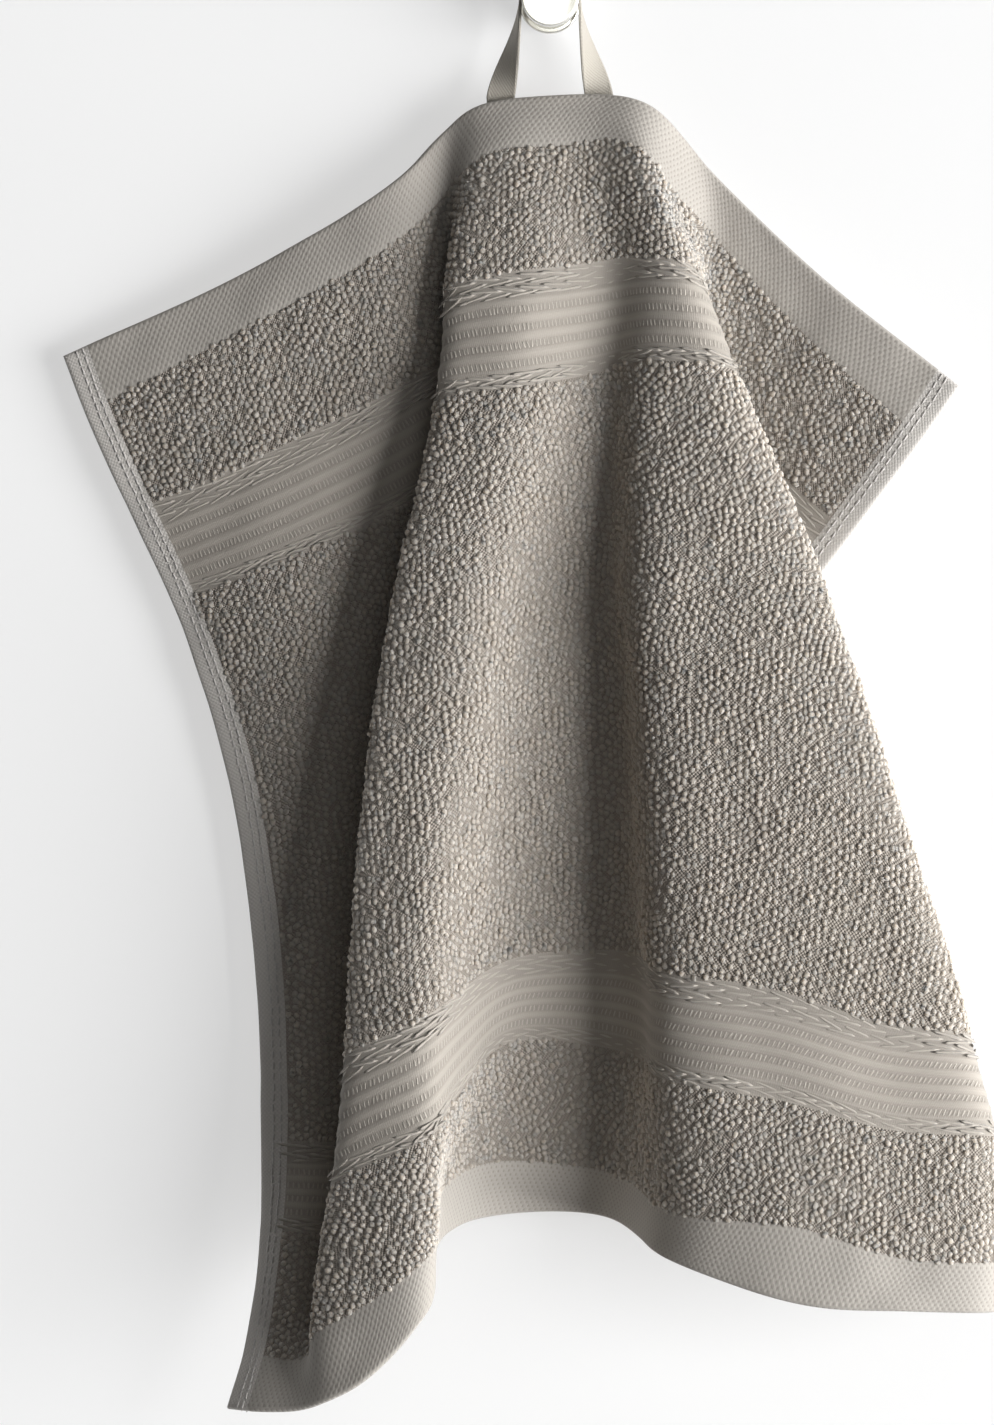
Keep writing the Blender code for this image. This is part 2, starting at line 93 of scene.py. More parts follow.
# The cloth's fold lines, from its left side edge to its right one. A row is one fold line: how far
# across from the hook, out from the wall and down from the hook it runs, in millimetres, at each level.
LEVELS = (0, 17, 48, 76, 125, 175, 224, 252, 283, 300)
FOLD_LINES = {
    "left_edge": {
        "across": (-122.0, -116.5, -105.2, -94.5, -81.0, -74.4, -72.0, -72.0, -75.8, -79.8),
        "out": (6.5, 7.0, 7.5, 7.5, 7.5, 8.5, 13.0, 19.0, 29.0, 35.0),
        "down": (88.8, 103.2, 128.2, 150.8, 192.5, 236.5, 285.0, 307.0, 336.2, 350.5),
    },
    "left_wing": {
        "across": (-75.0, -77.5, -67.5, -65.0, -62.0, -62.0, -63.0, -64.5, -69.5, -73.0),
        "out": (12.0, 13.5, 15.5, 16.5, 13.5, 13.0, 18.0, 25.0, 34.5, 40.5),
        "down": (67.5, 83.2, 112.0, 140.0, 186.5, 234.5, 285.2, 307.5, 338.0, 350.8),
    },
    "left_inner": {
        "across": (-37.5, -37.5, -33.0, -33.0, -35.0, -38.0, -43.0, -48.0, -62.5, -66.0),
        "out": (16.5, 17.0, 16.0, 12.5, 9.0, 8.5, 11.0, 19.0, 37.0, 44.0),
        "down": (44.5, 60.0, 94.0, 124.0, 180.0, 231.0, 284.5, 307.5, 338.8, 350.5),
    },
    "left_valley": {
        "across": (-25.5, -25.5, -23.5, -24.0, -23.5, -25.0, -31.0, -38.5, -58.0, -62.0),
        "out": (12.0, 12.0, 11.5, 10.0, 10.5, 11.0, 13.5, 21.5, 39.5, 46.5),
        "down": (31.8, 47.5, 87.0, 116.0, 173.5, 223.5, 278.0, 304.0, 337.5, 350.0),
    },
    "left_return": {
        "across": (-22.5, -23.0, -22.5, -23.5, -27.0, -30.0, -36.0, -43.0, -57.5, -59.0),
        "out": (12.5, 14.0, 16.5, 17.5, 19.5, 20.5, 23.0, 30.5, 42.5, 48.5),
        "down": (29.0, 45.5, 80.0, 109.0, 166.0, 217.5, 272.0, 300.5, 335.0, 349.3),
    },
    "left_fold": {
        "across": (-20.0, -21.0, -25.8, -28.2, -40.5, -47.8, -51.5, -54.8, -58.8, -56.0),
        "out": (14.0, 17.5, 24.5, 28.5, 32.5, 36.0, 39.0, 42.0, 47.0, 51.0),
        "down": (27.0, 43.0, 73.0, 100.8, 155.0, 210.0, 263.8, 296.2, 332.0, 348.0),
    },
    "left_face": {
        "across": (-16.0, -16.0, -17.5, -20.0, -31.5, -39.0, -42.5, -43.0, -47.0, -45.5),
        "out": (14.3, 18.7, 27.0, 31.5, 36.0, 39.8, 43.8, 47.5, 52.0, 54.5),
        "down": (25.8, 39.5, 70.0, 99.0, 150.5, 202.5, 259.0, 288.8, 325.0, 342.5),
    },
    "left_crest": {
        "across": (-12.5, -11.0, -9.0, -11.0, -20.5, -27.5, -30.0, -30.0, -30.5, -31.0),
        "out": (14.5, 19.0, 28.0, 32.8, 37.3, 41.2, 45.2, 49.0, 53.0, 54.5),
        "down": (24.8, 37.5, 68.8, 98.2, 148.0, 199.5, 252.5, 283.0, 312.0, 326.0),
    },
    "crest_side": {
        "across": (-9.5, -7.0, -4.0, -5.0, -13.0, -20.5, -23.5, -24.5, -28.5, -29.0),
        "out": (14.6, 19.3, 28.0, 32.0, 34.5, 37.0, 37.5, 38.0, 36.0, 34.0),
        "down": (24.6, 37.5, 68.2, 97.0, 146.5, 197.0, 247.5, 274.0, 297.5, 309.5),
    },
    "recess": {
        "across": (-6.2, -2.5, 2.5, 2.5, -2.8, -8.0, -10.0, -11.2, -15.0, -15.0),
        "out": (14.8, 19.0, 26.0, 28.0, 25.0, 23.5, 22.0, 20.0, 16.5, 14.0),
        "down": (24.5, 37.5, 67.5, 95.5, 145.0, 193.5, 239.2, 260.2, 290.0, 304.0),
    },
    "crease": {
        "across": (2.5, 8.8, 15.0, 14.5, 15.0, 17.8, 19.5, 20.0, 16.0, 12.5),
        "out": (15.0, 17.5, 21.5, 22.0, 19.5, 18.0, 17.0, 16.0, 13.0, 11.0),
        "down": (24.0, 36.5, 65.5, 93.0, 141.5, 191.0, 237.5, 263.0, 293.0, 303.8),
    },
    "step": {
        "across": (12.5, 15.5, 22.5, 22.5, 22.8, 24.6, 28.0, 29.5, 31.5, 30.5),
        "out": (15.0, 19.0, 26.5, 31.0, 36.5, 39.3, 42.0, 43.0, 43.0, 42.0),
        "down": (24.0, 35.0, 64.5, 91.0, 138.5, 187.5, 242.0, 269.0, 302.0, 313.8),
    },
    "right_crest": {
        "across": (20.0, 22.5, 29.5, 35.0, 40.3, 47.0, 53.8, 57.5, 60.0, 62.5),
        "out": (17.0, 22.0, 30.0, 35.0, 40.0, 44.0, 48.0, 50.0, 52.0, 52.0),
        "down": (24.8, 38.0, 65.5, 91.5, 140.0, 189.5, 246.0, 273.8, 304.5, 324.0),
    },
    "right_face": {
        "across": (25.0, 26.2, 33.0, 41.2, 54.0, 69.0, 80.0, 83.8, 85.0, 87.5),
        "out": (17.5, 22.0, 30.0, 35.0, 40.0, 44.5, 48.5, 50.0, 51.0, 51.0),
        "down": (26.5, 43.0, 66.2, 92.5, 140.5, 191.0, 254.0, 281.0, 312.0, 325.4),
    },
    "right_fold": {
        "across": (29.5, 30.5, 35.5, 46.0, 68.5, 87.0, 103.0, 108.0, 108.8, 107.5),
        "out": (16.0, 20.0, 27.0, 31.5, 36.5, 41.0, 45.0, 46.5, 47.0, 47.0),
        "down": (30.5, 49.0, 68.0, 94.0, 148.0, 203.5, 257.5, 282.5, 313.8, 326.0),
    },
    "right_return": {
        "across": (33.0, 35.0, 39.5, 44.5, 59.0, 80.0, 101.5, 110.0, 110.8, 109.3),
        "out": (13.5, 16.5, 20.0, 21.0, 23.0, 28.0, 35.0, 40.0, 42.5, 42.6),
        "down": (34.0, 53.0, 79.0, 107.0, 161.0, 206.5, 259.5, 283.5, 313.4, 325.9),
    },
    "right_valley": {
        "across": (36.0, 39.5, 38.0, 35.0, 30.0, 68.0, 97.0, 110.0, 112.0, 111.0),
        "out": (11.0, 13.0, 13.5, 14.5, 15.5, 22.0, 31.0, 37.5, 41.5, 42.0),
        "down": (38.0, 57.5, 91.0, 123.0, 180.0, 211.0, 262.5, 284.5, 313.0, 325.8),
    },
    "right_wing": {
        "across": (65.0, 60.0, 52.0, 44.0, 36.5, 60.0, 90.0, 110.0, 114.0, 114.0),
        "out": (16.0, 15.0, 12.0, 10.0, 9.0, 14.5, 25.5, 35.0, 40.0, 41.0),
        "down": (67.0, 80.2, 112.5, 139.5, 185.5, 219.0, 267.5, 286.5, 312.0, 325.6),
    },
    "right_edge": {
        "across": (102.0, 92.8, 75.2, 59.2, 46.5, 54.0, 83.5, 109.5, 115.5, 116.0),
        "out": (22.0, 21.0, 18.0, 14.5, 8.5, 7.5, 22.0, 33.5, 38.5, 40.0),
        "down": (97.0, 110.2, 134.0, 156.0, 191.0, 227.0, 272.0, 288.0, 311.0, 325.4),
    },
}
SAMPLES_BETWEEN = 20
FOLD_ROUNDING = 3.3

# Soft creases and ridges on the cloth, none listed here: a row's ends are places on the cloth, its reach is how
# far it fades to each side and its rise is how far it stands out, all in millimetres.
CREASES = (
)


def curve_through(knots, values, at):
    """A smooth curve through the values at the knots, read at the given places."""
    knots = np.asarray(knots, float)
    values = np.asarray(values, float)
    at = np.asarray(at, float)
    step = np.diff(knots)
    slope = np.diff(values, axis=0) / step[:, None]
    share = (step[1:] / (step[:-1] + step[1:]))[:, None]
    tangent = np.vstack([slope[:1], slope[:-1] * share + slope[1:] * (1 - share), slope[-1:]])
    first = np.clip(np.searchsorted(knots, at, side="right") - 1, 0, len(knots) - 2)
    width = step[first][:, None]
    t = (at - knots[first])[:, None] / width
    near = (1 + 2 * t) * (1 - t) ** 2 * values[first] + t * (1 - t) ** 2 * width * tangent[first]
    far = t * t * (3 - 2 * t) * values[first + 1] - t * t * (1 - t) * width * tangent[first + 1]
    return near + far


def run_of(points):
    """How far along its own line each point lies."""
    return np.concatenate([[0.0], np.cumsum(np.linalg.norm(np.diff(points, axis=0), axis=1))])


def rounded(points, reach):
    """Rounds a line's sharp turns over the given reach, with its two ends kept."""
    before = 2 * points[0] - points[:0:-1]
    after = 2 * points[-1] - points[-2::-1]
    longer = np.vstack([before, points, after])
    place = run_of(longer)
    spacing = np.gradient(place)
    own = place[len(before):len(before) + len(points)]
    apart = own[:, None] - place[None, :]
    weight = np.exp(-0.5 * (apart / reach) ** 2) * spacing
    return weight @ longer / weight.sum(axis=1, keepdims=True)


def section(level):
    """The cloth's line across at one level, as across, out and down, with its turns rounded."""
    crossing = []
    for row in FOLD_LINES.values():
        course = np.column_stack([row["across"], row["out"], row["down"]])
        crossing.append(curve_through(LEVELS, course, [level])[0])
    folds = np.array(crossing)
    knots = np.concatenate([[0.0], np.cumsum(np.linalg.norm(np.diff(folds, axis=0), axis=1) ** 0.5)])
    places = np.concatenate([
        np.linspace(knots[i], knots[i + 1], SAMPLES_BETWEEN, endpoint=False) for i in range(len(knots) - 1)
    ] + [knots[-1:]])
    return rounded(curve_through(knots, folds, places), FOLD_ROUNDING)


def soft_noise(u, v, cell, seed):
    """Smooth unevenness from -1 to 1 over the cloth, with bumps about one cell across."""
    size = 256
    lattice = np.random.default_rng(seed).uniform(-1.0, 1.0, (size, size))
    x = np.asarray(u, float) / cell
    y = np.asarray(v, float) / cell
    column = np.floor(x).astype(int)
    row = np.floor(y).astype(int)
    fx = x - column
    fy = y - row
    fx = fx * fx * fx * (fx * (fx * 6 - 15) + 10)
    fy = fy * fy * fy * (fy * (fy * 6 - 15) + 10)
    near = lattice[row % size, column % size] * (1 - fx) + lattice[row % size, (column + 1) % size] * fx
    far = lattice[(row + 1) % size, column % size] * (1 - fx)
    far = far + lattice[(row + 1) % size, (column + 1) % size] * fx
    return near * (1 - fy) + far * fy


def ease(value, start, end):
    """0 before the start, 1 after the end, and smooth between them."""
    t = np.clip((np.asarray(value, float) - start) / (end - start), 0.0, 1.0)
    return t * t * (3 - 2 * t)


def unit(vectors):
    return vectors / np.linalg.norm(vectors, axis=-1, keepdims=True)


def crease_height(u, v):
    """How far the listed creases raise or lower the cloth at each place."""
    height = np.zeros(np.broadcast(u, v).shape)
    for u0, v0, u1, v1, reach, rise in CREASES:
        way = np.array([u1 - u0, v1 - v0])
        length = np.linalg.norm(way)
        way = way / length
        along = (u - u0) * way[0] + (v - v0) * way[1]
        aside = (u - u0) * way[1] - (v - v0) * way[0]
        ends = ease(along, -reach, reach) * ease(length - along, -reach, reach)
        height = height + rise * ends * np.exp(-0.5 * (aside / reach) ** 2)
    return height


class Drape:
    """The hanging cloth's middle surface, read by place on the cloth, in millimetres."""

    def __init__(self, u_step=0.75, v_step=1.0):
        self.us = np.arange(0.0, CLOTH_WIDTH + u_step / 2, u_step)
        self.vs = np.arange(0.0, CLOTH_LENGTH + v_step / 2, v_step)
        rows = []
        for level in self.vs:
            line = section(level)
            run = run_of(line)
            wanted = self.us / CLOTH_WIDTH * run[-1]
            rows.append(np.column_stack([np.interp(wanted, run, line[:, axis]) for axis in range(3)]))
        self.points = np.array(rows) * np.array([1.0, -1.0, -1.0])
        self.set_ways()
        u, v = np.meshgrid(self.us, self.vs)
        wave = UNEVEN_BROAD * soft_noise(u, v, UNEVEN_BROAD_CELL, 11)
        wave = wave + UNEVEN_FINE * soft_noise(u, v, UNEVEN_FINE_CELL, 12)
        self.points = self.points + self.out[..., :] * (wave + crease_height(u, v))[..., None]
        self.set_ways()

    def set_ways(self):
        """The directions across and down the cloth and out of its front."""
        self.across = unit(np.gradient(self.points, axis=1))
        self.down = unit(np.gradient(self.points, axis=0))
        self.out = unit(np.cross(self.down, self.across))

    def read(self, u, v):
        """Points, front directions, across directions and down directions at places on the cloth."""
        x = np.clip(np.asarray(u, float) / (self.us[1] - self.us[0]), 0, len(self.us) - 1.001)
        y = np.clip(np.asarray(v, float) / (self.vs[1] - self.vs[0]), 0, len(self.vs) - 1.001)
        c = x.astype(int)
        r = y.astype(int)
        fx = (x - c)[..., None]
        fy = (y - r)[..., None]
        found = []
        for grid in (self.points, self.out, self.across, self.down):
            near = grid[r, c] * (1 - fx) + grid[r, c + 1] * fx
            far = grid[r + 1, c] * (1 - fx) + grid[r + 1, c + 1] * fx
            found.append(near * (1 - fy) + far * fy)
        return found[0], unit(found[1]), unit(found[2]), unit(found[3])


# Unevenness of the cloth between its folds, millimetres
UNEVEN_BROAD = 0.55
UNEVEN_BROAD_CELL = 34.0
UNEVEN_FINE = 0.3
UNEVEN_FINE_CELL = 12.0

made_drape = []


def drape():
    """The one drape that all the pieces of the cloth share."""
    if not made_drape:
        made_drape.append(Drape())
    return made_drape[0]


def add_mesh(name, points, quads, tris=None, material=None):
    """A new object from points in millimetres and arrays of corner numbers."""
    tris = np.empty((0, 3), int) if tris is None else tris
    corners = np.concatenate([np.ravel(quads), np.ravel(tris)]).astype(np.int32)
    starts = np.concatenate([np.arange(len(quads)) * 4, len(quads) * 4 + np.arange(len(tris)) * 3])
    mesh = bpy.data.meshes.new(name)
    mesh.vertices.add(len(points))
    mesh.vertices.foreach_set("co", (np.asarray(points) * MM).astype(np.float32).ravel())
    mesh.loops.add(len(corners))
    mesh.loops.foreach_set("vertex_index", corners)
    mesh.polygons.add(len(starts))
    mesh.polygons.foreach_set("loop_start", starts.astype(np.int32))
    mesh.update(calc_edges=True)
    mesh.shade_smooth()
    if material is not None:
        mesh.materials.append(material)
    made = bpy.data.objects.new(name, mesh)
    bpy.context.scene.collection.objects.link(made)
    return made


def set_numbers(made, name, values):
    """Stores one number for each point of a piece."""
    layer = made.data.attributes.new(name, "FLOAT", "POINT")
    layer.data.foreach_set("value", np.asarray(values, np.float32).ravel())


def set_cloth_map(made, places):
    """Stores each corner's place on the cloth, in metres, as the piece's UV map."""
    layer = made.data.uv_layers.new(name=CLOTH_MAP)
    corner = np.empty(len(made.data.loops), np.int32)
    made.data.loops.foreach_get("vertex_index", corner)
    layer.data.foreach_set("uv", (np.asarray(places)[corner] * MM).astype(np.float32).ravel())


CLOTH_MAP = "cloth_place"


class Value:
    """A number that varies over a surface. A sum or product of Values adds its Math node."""

    def __init__(self, finish, socket):
        self.finish = finish
        self.socket = socket

    def __add__(self, other):
        return self.finish.maths("ADD", self, other)

    def __radd__(self, other):
        return self.finish.maths("ADD", other, self)

    def __sub__(self, other):
        return self.finish.maths("SUBTRACT", self, other)

    def __rsub__(self, other):
        return self.finish.maths("SUBTRACT", other, self)

    def __mul__(self, other):
        return self.finish.maths("MULTIPLY", self, other)

    def __rmul__(self, other):
        return self.finish.maths("MULTIPLY", other, self)

    def __truediv__(self, other):
        return self.finish.maths("DIVIDE", self, other)


class Finish:
    """One material and the nodes that make it."""

    def __init__(self, name, colour, roughness, metallic=0.0):
        self.material = bpy.data.materials.new(name)
        self.material.use_nodes = True
        self.nodes = self.material.node_tree.nodes
        self.links = self.material.node_tree.links
        self.surface = self.nodes["Principled BSDF"]
        self.surface.inputs["Base Color"].default_value = (*colour, 1.0)
        self.surface.inputs["Roughness"].default_value = roughness
        self.surface.inputs["Metallic"].default_value = metallic

    def node(self, kind, settings=None, **sockets):
        """Adds a node, sets it up and gives its sockets their values or links."""
        made = self.nodes.new(kind)
        for key, value in (settings or {}).items():
            if key == "stops":
                ramp = made.color_ramp
                while len(ramp.elements) < len(value):
                    ramp.elements.new(0.5)
                for element, (place, colour) in zip(ramp.elements, value):
                    element.position = place
                    element.color = (*colour, 1.0)
            else:
                setattr(made, key, value)
        for key, value in sockets.items():
            socket = made.inputs[int(key[1:])] if key[1:].isdigit() else made.inputs[key.replace("_", " ")]
            self.give(socket, value)
        return made

    def give(self, socket, value):
        """A socket takes a link or a plain value."""
        value = value.socket if isinstance(value, Value) else value
        if isinstance(value, bpy.types.NodeSocket):
            self.links.new(value, socket)
        else:
            socket.default_value = value

    def maths(self, operation, *values):
        sockets = {f"i{k}": value for k, value in enumerate(values)}
        return Value(self, self.node("ShaderNodeMath", {"operation": operation}, **sockets).outputs[0])

    def number(self, name):
        """A number stored on the piece's points."""
        return Value(self, self.node("ShaderNodeAttribute", {"attribute_name": name}).outputs["Fac"])

    def cloth_place(self):
        """The place on the cloth as two Values, u and v, in millimetres, with the vector itself."""
        place = self.node("ShaderNodeUVMap", {"uv_map": CLOTH_MAP}).outputs["UV"]
        parts = self.node("ShaderNodeSeparateXYZ", Vector=place)
        return place, Value(self, parts.outputs["X"]) / MM, Value(self, parts.outputs["Y"]) / MM

    def noise(self, vector, scale, detail=2.0, roughness=0.5):
        """Noise from 0 to 1."""
        made = self.node("ShaderNodeTexNoise", Vector=vector, Scale=scale, Detail=detail, Roughness=roughness)
        return Value(self, made.outputs["Fac"])

    def blend(self, share, first, second, blend_type="MIX"):
        """A colour between two colours."""
        made = self.node("ShaderNodeMix", {"data_type": "RGBA", "blend_type": blend_type})
        self.give(made.inputs[0], share)
        self.give(made.inputs[6], first if not isinstance(first, tuple) else (*first, 1.0))
        self.give(made.inputs[7], second if not isinstance(second, tuple) else (*second, 1.0))
        return made.outputs[2]

    def relief(self, height, distance, strength=1.0):
        """Bumps the surface by a height of 0 to 1 over the given distance, in metres."""
        made = self.node("ShaderNodeBump", Strength=strength, Distance=distance, Height=height)
        self.links.new(made.outputs["Normal"], self.surface.inputs["Normal"])

    def colour(self, socket):
        self.links.new(socket, self.surface.inputs["Base Color"])

    def soft_cloth(self, sheen):
        """Cotton's soft sheen."""
        self.surface.inputs["Sheen Weight"].default_value = sheen
        self.surface.inputs["Sheen Roughness"].default_value = 0.5
        self.surface.inputs["Specular IOR Level"].default_value = 0.15

    def glow_through(self, weight, reach):
        """Light that spreads inside the yarn."""
        self.surface.inputs["Subsurface Weight"].default_value = weight
        self.surface.inputs["Subsurface Radius"].default_value = (1.0, 0.9, 0.8)
        self.surface.inputs["Subsurface Scale"].default_value = reach


TURN = 2.0 * math.pi


def shade_of(colour, share):
    """A colour made lighter or darker."""
    return tuple(channel * share for channel in colour)


def warmer(colour):
    """The borders' yarn is a little warmer than the hems'."""
    return tuple(channel * share for channel, share in zip(colour, (1.0, 0.98, 0.955)))


def pile_finish(colour):
    """Looped cotton yarn with painted shade that darkens each loop towards its root, uneven from loop to loop,
    with fine fibres.
    """
    finish = Finish("terry_loops", colour, 0.95)
    finish.soft_cloth(0.2)
    finish.glow_through(0.9, 0.003)
    place = finish.node("ShaderNodeTexCoord").outputs["Object"]
    tint = finish.number("tint")
    height = finish.number("height")
    fibres = finish.noise(place, 2600.0, 2.0, 0.6)
    worn = finish.noise(place, 26.0, 3.0)
    clumps = finish.noise(place, 260.0, 2.0)
    # The height factor is painted shade: each loop gets darker towards its foot.
    share = (0.92 + 0.16 * clumps) * (0.86 + 0.14 * height) * (0.94 + 0.12 * tint)
    share = share * (0.91 + 0.18 * fibres) * (0.94 + 0.12 * worn)
    shade = finish.node("ShaderNodeCombineXYZ", i0=share, i1=share, i2=share).outputs[0]
    base = finish.blend(tint, shade_of(colour, 1.04), tuple(c * k for c, k in zip(colour, (0.96, 0.965, 0.98))))
    finish.colour(finish.blend(1.0, base, shade, "MULTIPLY"))
    finish.relief(fibres, 0.00012, 0.5)
    return finish.material


def shaded_ground_finish(colour):
    """The woven ground that the loops stand on, darker than the loops' yarn as painted shade between the loops.
    """
    finish = Finish("terry_ground_painted_shade", shade_of(colour, 0.8), 0.95)
    place, u, v = finish.cloth_place()
    yarns = finish.maths("SINE", u * (TURN / 0.9)) * finish.maths("SINE", v * (TURN / 0.9))
    patches = finish.noise(place, 900.0)
    mix = 0.5 + 0.3 * yarns + 0.2 * patches
    # The weave and patches give the ground's pattern; its darkness below the yarn's colour is painted shade
    # between the loops.
    finish.colour(finish.blend(mix, shade_of(colour, 0.62), shade_of(colour, 0.92)))
    finish.relief(yarns, 0.0002)
    return finish.material


HEM_CELL = (1.65, 1.3)


def hem_finish(colour):
    """The end hems' small figured weave: rows of lozenges, each row set half a lozenge on, with painted shade in
    the weave's sunk pits.
    """
    finish = Finish("hem_weave", colour, 0.85)
    finish.soft_cloth(0.2)
    place, u, v = finish.cloth_place()
    drift = finish.noise(place, 240.0, 2.0) * 0.7
    slanted = u + drift + v * 0.12
    dropped = v + drift * 0.6
    lozenge = finish.maths("COSINE", slanted * (TURN / HEM_CELL[0]))
    lozenge = lozenge * finish.maths("COSINE", dropped * (math.pi / HEM_CELL[1]))
    ribs = finish.maths("SINE", slanted * (TURN / (HEM_CELL[0] / 3)))
    fibres = finish.noise(place, 2200.0, 3.0, 0.6)
    worn = finish.noise(place, 45.0, 3.0)
    # Darkening the weave's sunk pits is painted shade.
    shaded_pits = finish.maths("SMOOTH_MIN", lozenge + 0.35, 0.0, 0.3) * -1.0
    share = (1.0 - 0.45 * shaded_pits) * (0.88 + 0.24 * fibres) * (0.93 + 0.14 * worn)
    shade = finish.node("ShaderNodeCombineXYZ", i0=share, i1=share, i2=share).outputs[0]
    finish.colour(finish.blend(1.0, colour, shade, "MULTIPLY"))
    finish.relief(0.5 + 0.42 * lozenge + 0.06 * ribs + 0.25 * fibres, 0.00014, 0.8)
    return finish.material


def border_finish(colour):
    """The borders' close, smooth weave between its floats, with painted shade in its sunk rows."""
    colour = warmer(colour)
    finish = Finish("border_weave", colour, 0.8)
    finish.soft_cloth(0.25)
    place, u, v = finish.cloth_place()
    drift = finish.noise(place, 200.0, 2.0) * 0.5
    yarns = finish.maths("SINE", (u + drift) * (TURN / 0.55))
    rows = finish.maths("SINE", (v + drift) * (TURN / 0.8))
    fibres = finish.noise(place, 2400.0, 3.0, 0.6)
    worn = finish.noise(place, 60.0, 3.0)
    share = (0.97 + 0.03 * yarns) * (0.9 + 0.2 * fibres) * (0.93 + 0.14 * worn)
    # Painted shade: the borders' sunk rows are darkened.
    share = share * (1.0 - 0.2 * finish.number("hollow"))
    shade = finish.node("ShaderNodeCombineXYZ", i0=share, i1=share, i2=share).outputs[0]
    finish.colour(finish.blend(1.0, colour, shade, "MULTIPLY"))
    finish.relief(0.5 + 0.2 * yarns + 0.15 * rows + 0.3 * fibres, 0.00008, 0.8)
    return finish.material


def side_hem_finish(colour):
    """The side hems' plain weave."""
    finish = Finish("side_hem_weave", colour, 0.85)
    finish.soft_cloth(0.2)
    place, u, v = finish.cloth_place()
    drift = finish.noise(place, 200.0, 2.0) * 0.5
    yarns = finish.maths("SINE", (u + drift) * (TURN / 1.1)) * finish.maths("SINE", (v + drift) * (TURN / 1.2))
    fibres = finish.noise(place, 2300.0, 3.0, 0.6)
    share = (0.93 + 0.07 * yarns) * (0.86 + 0.28 * fibres)
    shade = finish.node("ShaderNodeCombineXYZ", i0=share, i1=share, i2=share).outputs[0]
    finish.colour(finish.blend(1.0, colour, shade, "MULTIPLY"))
    finish.relief(0.5 + 0.3 * yarns + 0.3 * fibres, 0.0002, 0.8)
    return finish.material


def float_finish(name, colour):
    """Smooth yarn that floats on the weave."""
    finish = Finish(name, colour, 0.7)
    finish.soft_cloth(0.3)
    place = finish.node("ShaderNodeTexCoord").outputs["Object"]
    fibres = finish.noise(place, 2600.0, 2.0, 0.6)
    share = (0.84 + 0.32 * fibres) * (0.94 + 0.12 * finish.number("tint"))
    shade = finish.node("ShaderNodeCombineXYZ", i0=share, i1=share, i2=share).outputs[0]
    finish.colour(finish.blend(1.0, colour, shade, "MULTIPLY"))
    finish.relief(fibres, 0.0001, 0.5)
    return finish.material


def lines_between(start, end, spacing):
    """Even lines from a start to an end, about one spacing apart, with both ends."""
    return np.linspace(start, end, max(2, round((end - start) / spacing) + 1))


# Border figure, millimetres down from the border's top edge
DASH_ROWS = (9.2, 13.6, 17.9, 22.2)
DASH_LENGTH = 2.3
DASH_PITCH = 1.2
TOP_EDGING = (0.4, 6.4)
LOWER_EDGING = (24.3, 27.6)


def border_rise(down):
    """How far the border's smooth ribs stand above its rows of dashes."""
    rise = np.ones_like(down)
    for row in DASH_ROWS:
        rise = rise * ease(np.abs(down - row), DASH_LENGTH * 0.38, DASH_LENGTH * 0.72)
    for start, end in (TOP_EDGING, LOWER_EDGING):
        rise = rise * (1.0 - ease(down, start - 0.8, start) * (1.0 - ease(down, end, end + 0.8)))
    return rise


def border_hollow(v):
    """1 in the sunk rows of the borders and 0 on their ribs and outside them; it masks the borders' painted
    shade.
    """
    hollow = np.zeros(np.shape(v))
    for start in BORDER_STARTS:
        inside = (v >= start) & (v <= start + BORDER_DEPTH)
        hollow = np.where(inside, 1.0 - border_rise(v - start), hollow)
    return hollow


def half_thickness(u, v):
    """Half the cloth's thickness at places on the cloth, without its loops."""
    half = np.full(np.broadcast(u, v).shape, GROUND_HALF)
    for start in BORDER_STARTS:
        end = start + BORDER_DEPTH
        inside = ease(v, start - STEP_WIDTH, start) * (1.0 - ease(v, end, end + STEP_WIDTH))
        flat = FLAT_HALF + RIB_RISE * border_rise(v - start)
        half = half + (flat - half) * inside
    from_end = np.minimum(v, CLOTH_LENGTH - v)
    half = half + (HEM_HALF - half) * (1.0 - ease(from_end, HEM_DEPTH - STEP_WIDTH, HEM_DEPTH))
    from_side = np.minimum(u, CLOTH_WIDTH - u)
    half = half + (SIDE_HEM_HALF - half) * (1.0 - ease(from_side, SIDE_HEM - STEP_WIDTH, SIDE_HEM))
    edge = np.minimum(from_end, from_side)
    turned = np.clip(edge / HEM_HALF, 0.0, 1.0)
    return half * (0.25 + 0.75 * np.sqrt(1.0 - (1.0 - turned) ** 2))


def sheet_lines():
    """The cloth mesh's lines across and down: closer at its edges and in its borders."""
    edge = np.array([0.0, 0.15, 0.5, 1.1])
    step = np.array([SIDE_HEM - STEP_WIDTH, SIDE_HEM])
    middle = lines_between(SIDE_HEM, CLOTH_WIDTH - SIDE_HEM, 1.5)[1:-1]
    us = np.concatenate([edge, [2.4, 4.2, 5.6], step, middle])
    us = np.concatenate([us, CLOTH_WIDTH - np.concatenate([edge, [2.4, 4.2, 5.6], step])[::-1]])
    down = [edge, lines_between(2.4, HEM_DEPTH - STEP_WIDTH, 2.0)]
    for (start, end), border in zip(TERRY_BANDS, (*BORDER_STARTS, None)):
        down.append(lines_between(start, end - STEP_WIDTH, 1.9))
        if border is not None:
            down.append(lines_between(border, border + BORDER_DEPTH, 0.72))
    lower = CLOTH_LENGTH - np.concatenate([edge, lines_between(2.4, HEM_DEPTH, 2.0)])
    down.append(lower[::-1])
    return us, np.unique(np.round(np.concatenate(down), 4))


def grid_quads(rows, columns, first=0, turned=False):
    """Corner numbers of a grid's faces."""
    r, c = np.meshgrid(np.arange(rows - 1), np.arange(columns - 1), indexing="ij")
    corner = first + r * columns + c
    quads = np.stack([corner, corner + columns, corner + columns + 1, corner + 1], axis=-1).reshape(-1, 4)
    return quads[:, ::-1] if turned else quads


